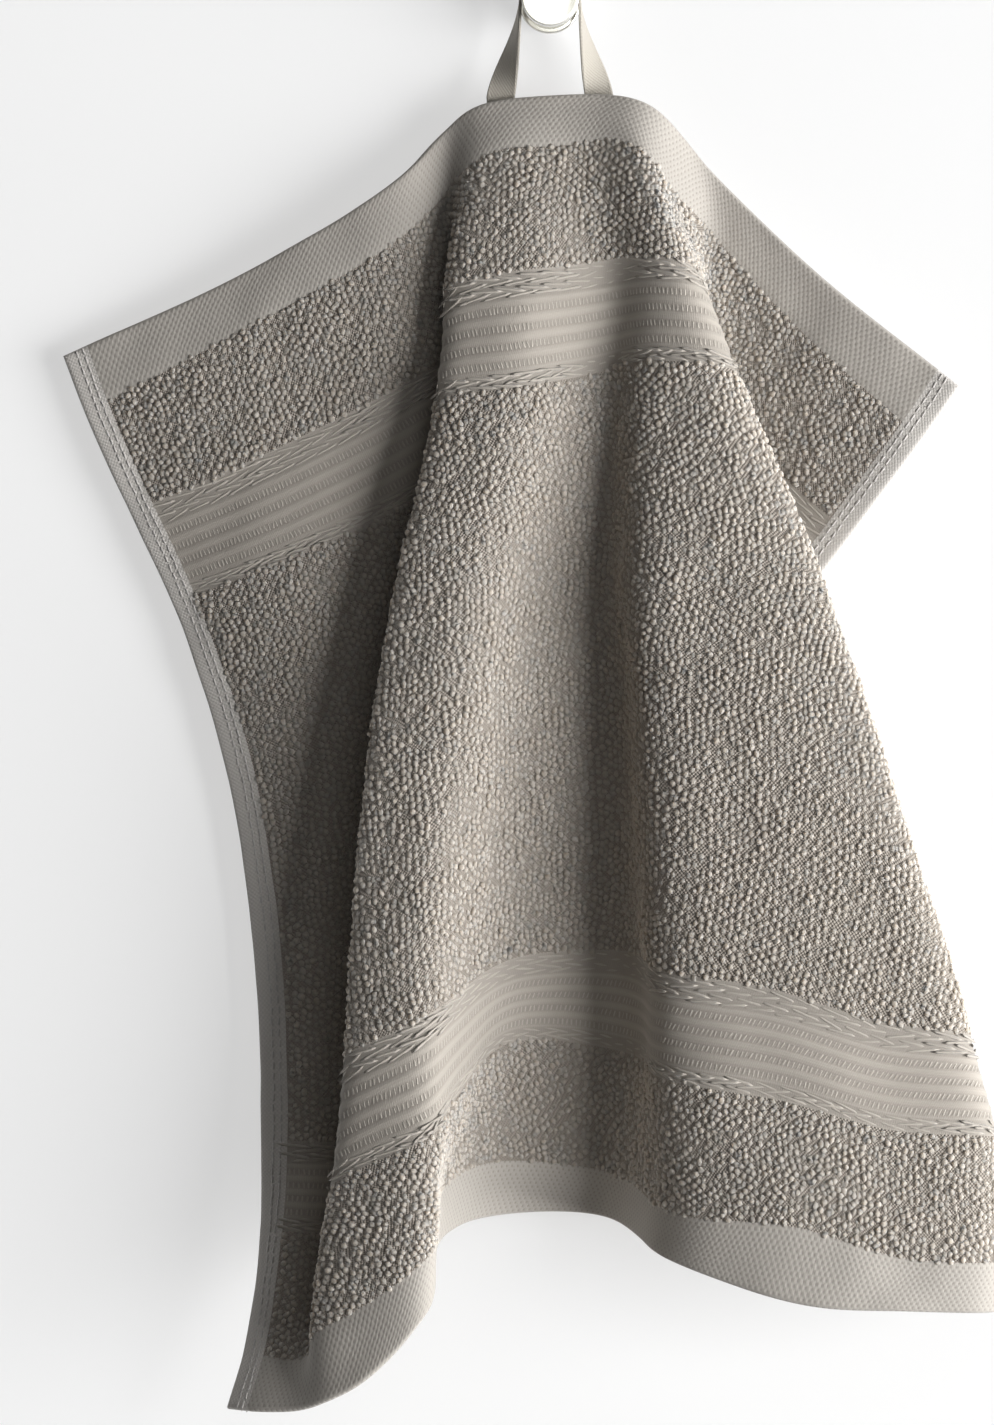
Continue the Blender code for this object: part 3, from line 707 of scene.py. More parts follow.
def rim_quads(rows, columns, back):
    """Faces that close the edge between a front grid and a back grid of the same size."""
    top = np.arange(columns)
    right = np.arange(rows) * columns + columns - 1
    around = np.concatenate([
        top, right[1:], (rows - 1) * columns + top[::-1][1:], (np.arange(rows) * columns)[::-1][1:],
    ])
    a = around[:-1]
    b = around[1:]
    return np.column_stack([a, b, b + back, a + back])


def zone_of(u, v):
    """Which weave a place on the cloth has: 0 terry ground, 1 end hem, 2 border, 3 side hem."""
    zone = np.zeros(np.broadcast(u, v).shape, np.int32)
    for start in BORDER_STARTS:
        zone[(v > start) & (v < start + BORDER_DEPTH)] = 2
    zone[np.minimum(v, CLOTH_LENGTH - v) < HEM_DEPTH] = 1
    zone[np.minimum(u, CLOTH_WIDTH - u) < SIDE_HEM] = 3
    return zone


def make_sheet(colours):
    """The woven cloth itself, front and back, with its hems' turned edges."""
    us, vs = sheet_lines()
    u, v = np.meshgrid(us, vs)
    point, out, _, _ = drape().read(u, v)
    half = half_thickness(u, v)[..., None]
    count = u.size
    points = np.concatenate([(point + out * half).reshape(-1, 3), (point - out * half).reshape(-1, 3)])
    rows, columns = u.shape
    quads = np.concatenate([
        grid_quads(rows, columns),
        grid_quads(rows, columns, count, turned=True),
        rim_quads(rows, columns, count),
    ])
    made = add_mesh("cloth", points, quads)
    places = np.column_stack([u.ravel(), v.ravel()])
    set_cloth_map(made, np.concatenate([places, places]))
    # The borders' sunk rows, which the border material darkens as painted shade.
    set_numbers(made, "hollow", np.tile(border_hollow(v).ravel(), 2))
    for material in (
        shaded_ground_finish(tuple(colours.pile)),
        hem_finish(tuple(colours.flat)),
        border_finish(tuple(colours.flat)),
        side_hem_finish(tuple(colours.side_hem)),
    ):
        made.data.materials.append(material)
    middle = np.concatenate([places, places])[quads].mean(axis=1)
    made.data.polygons.foreach_set("material_index", zone_of(middle[:, 0], middle[:, 1]))
    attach(made, "root")
    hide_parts("towel")
    return made


def beads(base, along, out, profile, stretch, widen, heighten, sides=4):
    """Closed beads of yarn: points and faces, with each point's height on its bead from 0 to 1.

    A profile row is one ring: its place along, its height, its half width and its half thickness.
    """
    aside = unit(np.cross(out, along))
    rings = np.asarray(profile[1:-1], float)
    tips = np.asarray((profile[0], profile[-1]), float)
    line = np.asarray(profile, float)[:, :2]
    slope = unit(np.gradient(line, axis=0))[1:-1]
    angle = TURN * np.arange(sides) / sides
    along_ = along[:, None, None, :]
    out_ = out[:, None, None, :]
    aside_ = aside[:, None, None, :]
    stretch_ = stretch[:, None, None, None]
    widen_ = widen[:, None, None, None]
    heighten_ = heighten[:, None, None, None]
    place = rings[None, :, 0, None, None]
    height = rings[None, :, 1, None, None]
    wide = rings[None, :, 2, None, None] * np.cos(angle)[None, None, :, None]
    thick = rings[None, :, 3, None, None] * np.sin(angle)[None, None, :, None]
    lean = -slope[None, :, 1, None, None] * thick
    lift = slope[None, :, 0, None, None] * thick
    shape = base[:, None, None, :] + along_ * (place * stretch_ + lean)
    shape = shape + out_ * (height * heighten_ + lift) + aside_ * wide * widen_
    ends = base[:, None, :] + along[:, None, :] * (tips[None, :, 0, None] * stretch[:, None, None])
    ends = ends + out[:, None, :] * tips[None, :, 1, None] * heighten[:, None, None]
    count = len(base)
    ring_count = len(rings)
    per_bead = ring_count * sides + 2
    points = np.concatenate([shape.reshape(count, -1, 3), ends], axis=1).reshape(-1, 3)
    quads = []
    tris = []
    tip = ring_count * sides
    for k in range(sides):
        after = (k + 1) % sides
        for j in range(ring_count - 1):
            quads.append((j * sides + k, j * sides + after, (j + 1) * sides + after, (j + 1) * sides + k))
        tris.append((tip, after, k))
        last = (ring_count - 1) * sides
        tris.append((last + k, last + after, tip + 1))
    offset = (np.arange(count) * per_bead)[:, None, None]
    quads = (np.array(quads)[None] + offset).reshape(-1, 4) if quads else np.empty((0, 4), int)
    tris = (np.array(tris)[None] + offset).reshape(-1, 3)
    top = rings[:, 1].max()
    level = np.concatenate([np.repeat(rings[:, 1] / top, sides), tips[:, 1] / top])
    return points, quads, tris, np.tile(np.clip(level, 0.0, 1.0), count)


def turned_way(first, second, angle):
    """A direction turned from the first way towards the second by an angle."""
    return unit(first * np.cos(angle)[..., None] + second * np.sin(angle)[..., None])


# The tops of the pile's loops, millimetres: half length, half width, the heights over the cloth's middle
# of their hidden foot, their shoulder and their crown, and the shoulder's share of the foot's size
LOOP_LENGTH = 0.98
LOOP_WIDTH = 0.86
LOOP_FOOT = 0.6
LOOP_SHOULDER = 1.26
LOOP_CROWN = 1.5
LOOP_SHARE = 0.76
FRONT_SIDES = 6
BACK_SIDES = 5
PILE_SCATTER = (0.2, 0.24)
PILE_DRIFT = 0.65
LEAN_BROAD = 0.38
LEAN_FINE = 0.5
LEAN_SCATTER = 0.5
CLUMP_CELL = 4.2
CLUMP_RISE = 0.15
COMB_CELL = 3.6
COMB_REACH = 0.3
BACK_SPREAD = 1.18


def loop_tops(base, along, out, tall, comb, source, sides, spread):
    """Rounded tops of loops: points and faces, with each point's height on its loop from 0 to 1."""
    count = len(base)
    aside = unit(np.cross(out, along))
    length = spread * LOOP_LENGTH * source.normal(1.0, 0.13, count).clip(0.7, 1.4)
    width = spread * LOOP_WIDTH * source.normal(1.0, 0.1, count).clip(0.75, 1.3)
    lean = comb + source.normal(0.0, 0.12, (count, 2))
    rings = []
    for turn, share, height in ((0.0, 1.0, LOOP_FOOT), (0.5, LOOP_SHARE, LOOP_SHOULDER)):
        angle = TURN * (np.arange(sides) + turn) / sides
        x = np.cos(angle)[None] * (length * share)[:, None] + height * lean[:, :1]
        y = np.sin(angle)[None] * (width * share)[:, None] + height * lean[:, 1:]
        z = np.broadcast_to((height * tall)[:, None], x.shape)
        rings.append((x, y, z))
    crown = LOOP_CROWN * tall[:, None]
    rings.append((LOOP_CROWN * lean[:, :1], LOOP_CROWN * lean[:, 1:], crown))
    x, y, z = (np.concatenate([ring[axis] for ring in rings], axis=1)[..., None] for axis in range(3))
    points = base[:, None] + along[:, None] * x + aside[:, None] * y + out[:, None] * z
    tris = []
    for k in range(sides):
        after = (k + 1) % sides
        tris.append((k, after, sides + k))
        tris.append((after, sides + after, sides + k))
        tris.append((sides + k, sides + after, 2 * sides))
    tris += [(0, k + 1, k) for k in range(1, sides - 1)]
    offset = (np.arange(count) * (2 * sides + 1))[:, None, None]
    tris = (np.array(tris)[None] + offset).reshape(-1, 3)
    level = np.concatenate([np.zeros(sides), np.full(sides, 0.75), [1.0]])
    return points.reshape(-1, 3), tris, np.tile(level, count)


def loop_places(bands, u_range, across_pitch, down_pitch, seed):
    """Places of the loops: columns set half a loop on, a little uneven as pile is."""
    source = np.random.default_rng(seed)
    found = []
    for start, end in bands:
        rows = max(1, round((end - start) / down_pitch))
        columns = max(1, round((u_range[1] - u_range[0]) / across_pitch))
        row, column = np.meshgrid(np.arange(rows), np.arange(columns), indexing="ij")
        v = start + (row + 0.25 + 0.5 * (column % 2)) * (end - start) / rows
        u = u_range[0] + (column + 0.5) * (u_range[1] - u_range[0]) / columns
        found.append(np.column_stack([u.ravel(), v.ravel()]))
    places = np.concatenate(found)
    return places + source.normal(0.0, PILE_SCATTER, places.shape)


def make_pile(name, bands, u_range, side, settings, material, seed):
    """One stretch of pile on one face of the cloth."""
    source = np.random.default_rng(seed)
    sides = FRONT_SIDES if side > 0.0 else BACK_SIDES
    spread = 1.0 if side > 0.0 else BACK_SPREAD
    across_pitch = settings.column_spacing * spread / MM
    down_pitch = settings.row_spacing * spread / MM
    places = loop_places(bands, u_range, across_pitch, down_pitch, seed + 100)
    u, v = places[:, 0], places[:, 1]
    u = u + PILE_DRIFT * soft_noise(u, v, 7.0, 31)
    v = v + PILE_DRIFT * soft_noise(u, v, 7.0, 32)
    point, out, across, down = drape().read(u, v)
    out = out * side
    lean = LEAN_BROAD * soft_noise(u, v, 16.0, 33) + LEAN_FINE * soft_noise(u, v, 5.5, 34)
    lean = lean + source.normal(0.0, LEAN_SCATTER, len(u))
    along = turned_way(down, across, lean)
    along = unit(along - out * (along * out).sum(axis=1, keepdims=True))
    tall = (1.0 + CLUMP_RISE * soft_noise(u, v, CLUMP_CELL, 35)) * source.normal(1.0, 0.08, len(u))
    comb = COMB_REACH * np.column_stack([soft_noise(u, v, COMB_CELL, seed) for seed in (36, 37)])
    points, tris, height = loop_tops(point, along, out, tall, comb, source, sides, spread)
    made = add_mesh(name, points, np.empty((0, 4), int), tris, material)
    per_bead = len(points) // len(u)
    # Each point's height on its loop, which the pile's material turns into painted shade towards the loop's foot.
    set_numbers(made, "height", height)
    set_numbers(made, "tint", np.repeat(source.uniform(0.0, 1.0, len(u)), per_bead))
    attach(made, "root")
    return made


FLOAT_PROFILE = (
    (-1.0, 0.0, 0.0, 0.0),
    (-0.62, 0.1, 0.36, 0.15),
    (0.62, 0.1, 0.36, 0.15),
    (1.0, 0.0, 0.0, 0.0),
)
EDGING_PITCH = 6.8
EDGING_ROWS = 3
EDGING_SLANT = 0.13
EDGING_LENGTH = 8.8
EDGING_SUNK = 0.15
DASH_SUNK = 0.17


def border_floats(start, source):
    """Places, lengths, widths and turns of one border's floating yarns."""
    found = []
    count = round((CLOTH_WIDTH - 2 * SIDE_HEM) / DASH_PITCH)
    us = SIDE_HEM + (np.arange(count) + 0.5) * (CLOTH_WIDTH - 2 * SIDE_HEM) / count
    for row in DASH_ROWS:
        found.append(np.column_stack([
            us + source.normal(0.0, 0.08, count),
            start + row + source.normal(0.0, 0.08, count),
            np.full(count, DASH_LENGTH * 0.56),
            np.full(count, 1.0),
            source.normal(0.0, 0.08, count),
            np.full(count, FLAT_HALF - DASH_SUNK),
        ]))
    for edge_start, edge_end in (TOP_EDGING, LOWER_EDGING):
        count = round((CLOTH_WIDTH - 2 * SIDE_HEM) / EDGING_PITCH)
        rows = EDGING_ROWS + (1 if edge_end - edge_start > 5.0 else 0)
        for k in range(rows):
            us = SIDE_HEM + (np.arange(count) + 0.25 + 0.5 * (k % 2)) * (CLOTH_WIDTH - 2 * SIDE_HEM) / count
            slant = EDGING_SLANT if k % 2 else -EDGING_SLANT
            found.append(np.column_stack([
                us + source.normal(0.0, 0.2, count),
                start + edge_start + (k + 0.5) * (edge_end - edge_start) / rows + source.normal(0.0, 0.12, count),
                np.full(count, EDGING_LENGTH / 2) * source.normal(1.0, 0.08, count),
                np.full(count, 1.15),
                math.pi / 2 + slant + source.normal(0.0, 0.05, count),
                np.full(count, FLAT_HALF - EDGING_SUNK),
            ]))
    return np.concatenate(found)


def yarn_pieces(name, rows, sides, material):
    """Floats or stitches lying on the cloth: rows of u, v, half length, width, turn and height."""
    shapes = []
    for side in sides:
        point, out, across, down = drape().read(rows[:, 0], rows[:, 1])
        out = out * side
        along = turned_way(down, across, rows[:, 4])
        along = unit(along - out * (along * out).sum(axis=1, keepdims=True))
        base = point + out * rows[:, 5:6]
        shapes.append(beads(base, along, out, FLOAT_PROFILE, rows[:, 2], rows[:, 3], np.ones(len(rows))))
    made = joined_beads(name, shapes, material)
    per_bead = len(shapes[0][0]) // len(rows)
    tint = np.random.default_rng(len(rows)).uniform(0.0, 1.0, len(rows) * len(sides))
    set_numbers(made, "tint", np.repeat(tint, per_bead))
    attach(made, "root")
    return made


def joined_beads(name, shapes, material):
    """Several lots of beads as one object."""
    points, quads, tris = [], [], []
    first = 0
    for shape in shapes:
        points.append(shape[0])
        quads.append(shape[1] + first)
        tris.append(shape[2] + first)
        first += len(shape[0])
    return add_mesh(name, np.concatenate(points), np.concatenate(quads), np.concatenate(tris), material)


STITCH_LINES = (4.0, 5.9)
STITCH_PITCH = 2.6
STITCH_LENGTH = 2.2


def side_stitches():
    """The two rows of sewing along each side hem."""
    count = round(CLOTH_LENGTH / STITCH_PITCH)
    vs = (np.arange(count) + 0.5) * CLOTH_LENGTH / count
    source = np.random.default_rng(71)
    found = []
    for line in STITCH_LINES:
        for u in (line, CLOTH_WIDTH - line):
            found.append(np.column_stack([
                u + source.normal(0.0, 0.1, count),
                vs + source.normal(0.0, 0.1, count),
                np.full(count, STITCH_LENGTH / 2),
                np.full(count, 0.8),
                source.normal(0.0, 0.05, count),
                np.full(count, SIDE_HEM_HALF - 0.03),
            ]))
    return np.concatenate(found)


# Tape loop and hook, millimetres
FLANGE_RADIUS = 7.7
FLANGE_DEPTH = 2.6
NECK_RADIUS = 6.6
HEAD_RADIUS = 7.15
HEAD_START = 17.2
HEAD_END = 22.0
HEAD_RIM = 0.12
HEAD_DISH = ((0.5, 0.03), (0.9, 0.05), (1.2, 0.045), (1.4, 0.03), (1.2, 0.012))
TAPE_WIDTH = 7.0
TAPE_THICKNESS = 0.9
TAPE_OUT = 12.0
GAP = 0.3
TAPE_ENDS = {
    "left": {
        "across": -12.4, "hem_out": 11.9, "hem_down": 24.4,
        "tail_across": -11.8, "tail_out": 14.5, "tail_down": 34.0,
    },
    "right": {
        "across": 12.2, "hem_out": 12.0, "hem_down": 23.6,
        "tail_across": 14.2, "tail_out": 14.4, "tail_down": 33.0,
    },
}
TAPE_TURN_STEPS = 36
TAPE_LEG_STEPS = 40
TAPE_TAIL_STEPS = 10
TAPE_TWIST_EASE = 1.6
TAPE_STRAIGHT_SHARE = 0.35
TAPE_ACROSS_STEPS = 14


def tape_frames():
    """Middle, width direction and thickness direction of the tape from one sewn end to the other."""
    radius = NECK_RADIUS + GAP + TAPE_THICKNESS / 2
    along_peg = np.array([0.0, 1.0, 0.0])

    def leg(end, side):
        frames = []
        top = np.array([side * radius, TAPE_OUT, 0.0])
        hem = np.array([end["across"], end["hem_out"], end["hem_down"]])
        tail = np.array([end["tail_across"], end["tail_out"], end["tail_down"]])
        for k in range(1, TAPE_LEG_STEPS + 1):
            t = k / TAPE_LEG_STEPS
            late_lean = t * t * (2.0 - t)
            lean = TAPE_STRAIGHT_SHARE * t + (1.0 - TAPE_STRAIGHT_SHARE) * late_lean
            place = top + (hem - top) * np.array([lean, t, t])
            turn = math.radians(90.0) * t ** TAPE_TWIST_EASE
            width = along_peg * math.cos(turn) + np.array([-side, 0.0, 0.0]) * math.sin(turn)
            frames.append((place, width))
        for k in range(1, TAPE_TAIL_STEPS + 1):
            place = hem + (tail - hem) * k / TAPE_TAIL_STEPS
            frames.append((place, np.array([-side, 0.0, 0.0])))
        return frames

    left = leg(TAPE_ENDS["left"], -1.0)
    right = leg(TAPE_ENDS["right"], 1.0)
    turn_over = []
    for k in range(TAPE_TURN_STEPS + 1):
        angle = math.pi * k / TAPE_TURN_STEPS
        place = np.array([-radius * math.cos(angle), TAPE_OUT, -radius * math.sin(angle)])
        turn_over.append((place, along_peg))
    return left[::-1] + turn_over + right


def tape_finish(colour):
    """Narrow twill tape with firm edges."""
    finish = Finish("twill_tape", colour, 0.75)
    finish.soft_cloth(0.25)
    place, u, v = finish.cloth_place()
    twill = finish.maths("SINE", (u + v * 1.0) * (TURN / 0.9))
    yarns = finish.maths("SINE", u * (TURN / 0.45))
    fibres = finish.noise(place, 2400.0, 3.0, 0.6)
    share = (0.95 + 0.05 * twill) * (0.86 + 0.28 * fibres)
    shade = finish.node("ShaderNodeCombineXYZ", i0=share, i1=share, i2=share).outputs[0]
    finish.colour(finish.blend(1.0, colour, shade, "MULTIPLY"))
    finish.relief(0.5 + 0.25 * twill + 0.1 * yarns + 0.25 * fibres, 0.00015, 0.8)
    return finish.material


def tape_half(aside):
    """Half the tape's thickness across its width, with its firm woven edges."""
    edge = 1.0 - np.abs(aside)
    firm = 1.0 - ease(edge, 0.06, 0.2)
    round_off = np.sqrt(np.clip(1.0 - (1.0 - np.clip(edge / 0.1, 0.0, 1.0)) ** 2, 0.0, 1.0))
    return TAPE_THICKNESS / 2 * (0.78 + 0.2 * firm) * (0.3 + 0.7 * round_off)


def make_tape(colours):
    """The hanging loop: flat over the hook, each leg turned a quarter, its ends sewn behind the hem."""
    frames = tape_frames()
    centres = np.array([place for place, _ in frames])
    ways = np.gradient(centres, axis=0)
    runs = run_of(centres)
    edge = np.array([0.0, 0.012, 0.04, 0.09])
    inner = lines_between(0.16, 0.84, 1.0 / TAPE_ACROSS_STEPS)
    share = np.concatenate([edge, inner, 1.0 - edge[::-1]])
    aside = 2.0 * share - 1.0
    half = tape_half(aside)
    front, back = [], []
    for (place, width), way in zip(frames, ways):
        way = way / np.linalg.norm(way)
        width = width - way * np.dot(width, way)
        width = width / np.linalg.norm(width)
        depth = np.cross(way, width)
        line = place + aside[:, None] * width * TAPE_WIDTH / 2
        front.append(line + depth * half[:, None])
        back.append(line - depth * half[:, None])
    rows, columns = len(frames), len(aside)
    points = np.concatenate([np.reshape(front, (-1, 3)), np.reshape(back, (-1, 3))])
    points = points * np.array([1.0, -1.0, -1.0])
    quads = np.concatenate([
        grid_quads(rows, columns),
        grid_quads(rows, columns, rows * columns, turned=True),
        rim_quads(rows, columns, rows * columns)[:, ::-1],
    ])
    made = add_mesh("tape_loop", points, quads, None, tape_finish(tuple(colours.tape)))
    u, v = np.meshgrid(aside * TAPE_WIDTH / 2, runs)
    places = np.column_stack([u.ravel(), v.ravel()])
    set_cloth_map(made, np.concatenate([places, places]))
    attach(made, "root")
    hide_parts("hanging_loop")
    return made


def metal_finish(colour):
    """Polished plated metal with faint wear."""
    finish = Finish("polished_metal", colour, 0.14, 1.0)
    place = finish.node("ShaderNodeTexCoord").outputs["Object"]
    wear = finish.noise(place, 700.0, 4.0, 0.65)
    scratches = finish.noise(place, 2600.0, 2.0, 0.5)
    finish.give(finish.surface.inputs["Roughness"], 0.07 + 0.12 * wear)
    finish.relief(scratches, 0.00001, 0.3)
    return finish.material


def only_select(made):
    bpy.ops.object.select_all(action="DESELECT")
    made.select_set(True)
    bpy.context.view_layer.objects.active = made


def turned_part(name, radius, back, front, sides, bevel, material):
    """A round metal part along the wall's normal, from its back to its front distance out."""
    bpy.ops.object.select_all(action="DESELECT")
    bpy.ops.mesh.primitive_cylinder_add(
        vertices=sides,
        radius=radius * MM,
        depth=(front - back) * MM,
        location=(0.0, -(front + back) / 2 * MM, 0.0),
        rotation=(math.pi / 2, 0.0, 0.0),
    )
    made = bpy.context.object
    made.name = name
    made.data.name = name
    bpy.ops.object.transform_apply(location=True, rotation=True, scale=True)
    edges = made.modifiers.new("edges", "BEVEL")
    edges.width = bevel * MM
    edges.segments = 4
    edges.limit_method = "ANGLE"
    bpy.ops.object.modifier_apply(modifier=edges.name)
    made.data.materials.append(material)
    return made


def select_front(made, front):
    """Selects only the round face at a distance out."""
    bpy.ops.object.mode_set(mode="OBJECT")
    for part in (made.data.vertices, made.data.edges, made.data.polygons):
        part.foreach_set("select", np.zeros(len(part), bool))
    face = max(made.data.polygons, key=lambda p: -p.center.y + p.area)
    near = [p for p in made.data.polygons if abs(p.center.y + front * MM) < 0.1 * MM and len(p.vertices) > 8]
    face = near[0] if near else face
    face.select = True
    bpy.ops.object.mode_set(mode="EDIT")


HEAD_SIDES = 96
HEAD_LIP = 0.4


def make_hook(colours):
    """The hook's wall flange, neck and dished head."""
    metal = metal_finish(tuple(colours.metal))
    flange = turned_part("hook_flange", FLANGE_RADIUS, 0.0, FLANGE_DEPTH, HEAD_SIDES, 0.45, metal)
    neck = turned_part("hook_neck", NECK_RADIUS, FLANGE_DEPTH - 0.4, HEAD_START + 0.4, HEAD_SIDES, 0.1, metal)
    head = turned_part("hook_head", HEAD_RADIUS, HEAD_START, HEAD_END, HEAD_SIDES, HEAD_LIP, metal)
    only_select(head)
    bpy.ops.object.mode_set(mode="EDIT")
    bpy.ops.mesh.select_mode(type="FACE")
    select_front(head, HEAD_END)
    bpy.ops.mesh.inset(thickness=HEAD_RIM * MM)
    for step, sunk in HEAD_DISH:
        bpy.ops.mesh.inset(thickness=step * MM)
        bpy.ops.transform.translate(value=(0.0, sunk * MM, 0.0))
    bpy.ops.object.mode_set(mode="OBJECT")
    for made in (flange, neck, head):
        only_select(made)
        bpy.ops.object.shade_smooth_by_angle(angle=math.radians(35.0))
        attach(made, "root")
    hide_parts("hook")
    return flange, neck, head


# Camera in the photograph's frame, metres
WALL_DISTANCE = 2.4
FRAME_CENTRE = (-0.01325, -0.178125)
FRAME_HEIGHT = 0.35625
FRAME_PLANE_OUT = 0.012
SENSOR_HEIGHT = 36.0


def make_camera():
    data = bpy.data.cameras.new("camera")
    data.sensor_fit = "VERTICAL"
    data.sensor_height = SENSOR_HEIGHT
    data.lens = SENSOR_HEIGHT * (WALL_DISTANCE - FRAME_PLANE_OUT) / FRAME_HEIGHT
    data.clip_start = 0.05
    data.clip_end = 20.0
    made = bpy.data.objects.new("camera", data)
    made.location = (FRAME_CENTRE[0], -WALL_DISTANCE, FRAME_CENTRE[1])
    made.rotation_euler = (math.pi / 2, 0.0, 0.0)
    bpy.context.scene.collection.objects.link(made)
    bpy.context.scene.camera = made
    return made


def make_light(name, place, aim, width, height, power):
    """A soft box light that faces the aim."""
    data = bpy.data.lights.new(name, "AREA")
    data.shape = "RECTANGLE"
    data.size = width
    data.size_y = height
    data.energy = power
    made = bpy.data.objects.new(name, data)
    made.location = place
    made.rotation_euler = (Vector(aim) - Vector(place)).to_track_quat("-Z", "Y").to_euler()
    bpy.context.scene.collection.objects.link(made)
    return made


WALL_GAP = 0.0006
FLOOR_DROP = 0.9


def stage_plane(name, size, place, turn, finish):
    bpy.ops.object.select_all(action="DESELECT")
    bpy.ops.mesh.primitive_plane_add(size=size, location=place, rotation=turn)
    made = bpy.context.object
    made.name = name
    bpy.ops.object.transform_apply(location=True, rotation=True, scale=True)
    made.data.materials.append(finish.material)
    return made


CARD_DISTANCE = 4.0


def make_reflected_card():
    """A pale card behind the camera, with a dark gap, that only polished metal shows."""
    card = Finish("card", (0.0, 0.0, 0.0), 1.0)
    place = card.node("ShaderNodeTexCoord").outputs["Object"]
    parts = card.node("ShaderNodeSeparateXYZ", Vector=place)
    aside = card.maths("ABSOLUTE", Value(card, parts.outputs["X"]) - 0.02)
    above = Value(card, parts.outputs["Z"]) - 0.33
    wedge = card.maths("SMOOTH_MIN", card.maths("MAXIMUM", (aside - 0.5 * above) * 9.0, 0.0), 1.0, 0.1)
    brim = card.maths("SMOOTH_MIN", card.maths("MAXIMUM", (0.55 - above) * 9.0, 0.0), 1.0, 0.1)
    glow = card.blend(wedge * brim, (0.03, 0.035, 0.03), (0.84, 0.83, 0.75))
    card.links.new(glow, card.surface.inputs["Emission Color"])
    card.surface.inputs["Emission Strength"].default_value = 1.0
    made = stage_plane("card", 9.0, (0.0, -CARD_DISTANCE, 0.0), (-math.pi / 2, 0.0, 0.0), card)
    made.visible_camera = False
    made.visible_diffuse = False
    made.visible_shadow = False
    made.visible_transmission = False
    return made


def make_stage(stage):
    """Pale floor, one-sided pale backdrop, soft lights and the camera."""
    make_camera()
    backdrop = Finish("backdrop", tuple(stage.wall_colour), 0.9)
    backdrop.surface.inputs["Emission Color"].default_value = (1.0, 1.0, 1.0, 1.0)
    backdrop.surface.inputs["Emission Strength"].default_value = stage.wall_glow
    facing = backdrop.node("ShaderNodeNewGeometry").outputs["Backfacing"]
    clear = backdrop.node("ShaderNodeBsdfTransparent")
    joined = backdrop.node("ShaderNodeMixShader", i0=facing, i1=backdrop.surface.outputs[0], i2=clear.outputs[0])
    output = backdrop.nodes["Material Output"]
    backdrop.links.new(joined.outputs[0], output.inputs["Surface"])
    wall = stage_plane("backdrop", 3.0, (0.0, WALL_GAP, -0.2), (math.pi / 2, 0.0, 0.0), backdrop)
    wall.visible_shadow = False
    floor = Finish("floor", tuple(stage.floor_colour), 0.8)
    ground = stage_plane("floor", 6.0, (0.0, 0.0, CAD_BOX[0][2] - FLOOR_DROP), (0.0, 0.0, 0.0), floor)
    ground.visible_diffuse = False
    centre = (0.0, -0.03, -0.18)
    make_light("key", stage.key_place, centre, stage.key_width, stage.key_height, stage.key_power)
    make_light("fill", (0.35, -2.0, 0.25), centre, 1.0, 1.0, stage.fill_power)
    make_light("rear_fill", (0.5, 1.4, 0.5), centre, 1.2, 1.2, stage.rear_power)
    make_reflected_card()
    world = bpy.data.worlds.new("studio")
    world.use_nodes = True
    background = world.node_tree.nodes["Background"]
    background.inputs["Color"].default_value = (1.0, 1.0, 1.0, 1.0)
    background.inputs["Strength"].default_value = stage.room_light
    bpy.context.scene.world = world
    bpy.context.scene.view_settings.view_transform = "Standard"


class TowelCloth(bpy.types.PropertyGroup):
    """Sizes of the cloth's pile."""

    column_spacing: bpy.props.FloatProperty(
        name="Column spacing", description="Distance across the cloth between columns of loops",
        default=0.00162, min=0.0012, max=0.01, precision=5, unit="LENGTH", subtype="DISTANCE",
    )
    row_spacing: bpy.props.FloatProperty(
        name="Row spacing", description="Distance down a column from one loop to the next",
        default=0.00188, min=0.0015, max=0.01, precision=5, unit="LENGTH", subtype="DISTANCE",
    )


class TowelColours(bpy.types.PropertyGroup):
    """Colours of the yarns and the metal."""

    pile: bpy.props.FloatVectorProperty(
        name="Pile", description="Colour of the looped yarn",
        default=(0.42, 0.375, 0.325), min=0.0, max=1.0, subtype="COLOR",
    )
    flat: bpy.props.FloatVectorProperty(
        name="Flat weave", description="Colour of the borders and end hems",
        default=(0.405, 0.378, 0.343), min=0.0, max=1.0, subtype="COLOR",
    )
    side_hem: bpy.props.FloatVectorProperty(
        name="Side hem", description="Colour of the side hems",
        default=(0.6, 0.57, 0.535), min=0.0, max=1.0, subtype="COLOR",
    )
    thread: bpy.props.FloatVectorProperty(
        name="Thread", description="Colour of the sewing thread",
        default=(0.47, 0.45, 0.43), min=0.0, max=1.0, subtype="COLOR",
    )
    tape: bpy.props.FloatVectorProperty(
        name="Tape", description="Colour of the hanging loop",
        default=(0.42, 0.39, 0.34), min=0.0, max=1.0, subtype="COLOR",
    )
    metal: bpy.props.FloatVectorProperty(
        name="Metal", description="Colour of the hook's plating",
        default=(0.78, 0.77, 0.74), min=0.0, max=1.0, subtype="COLOR",
    )


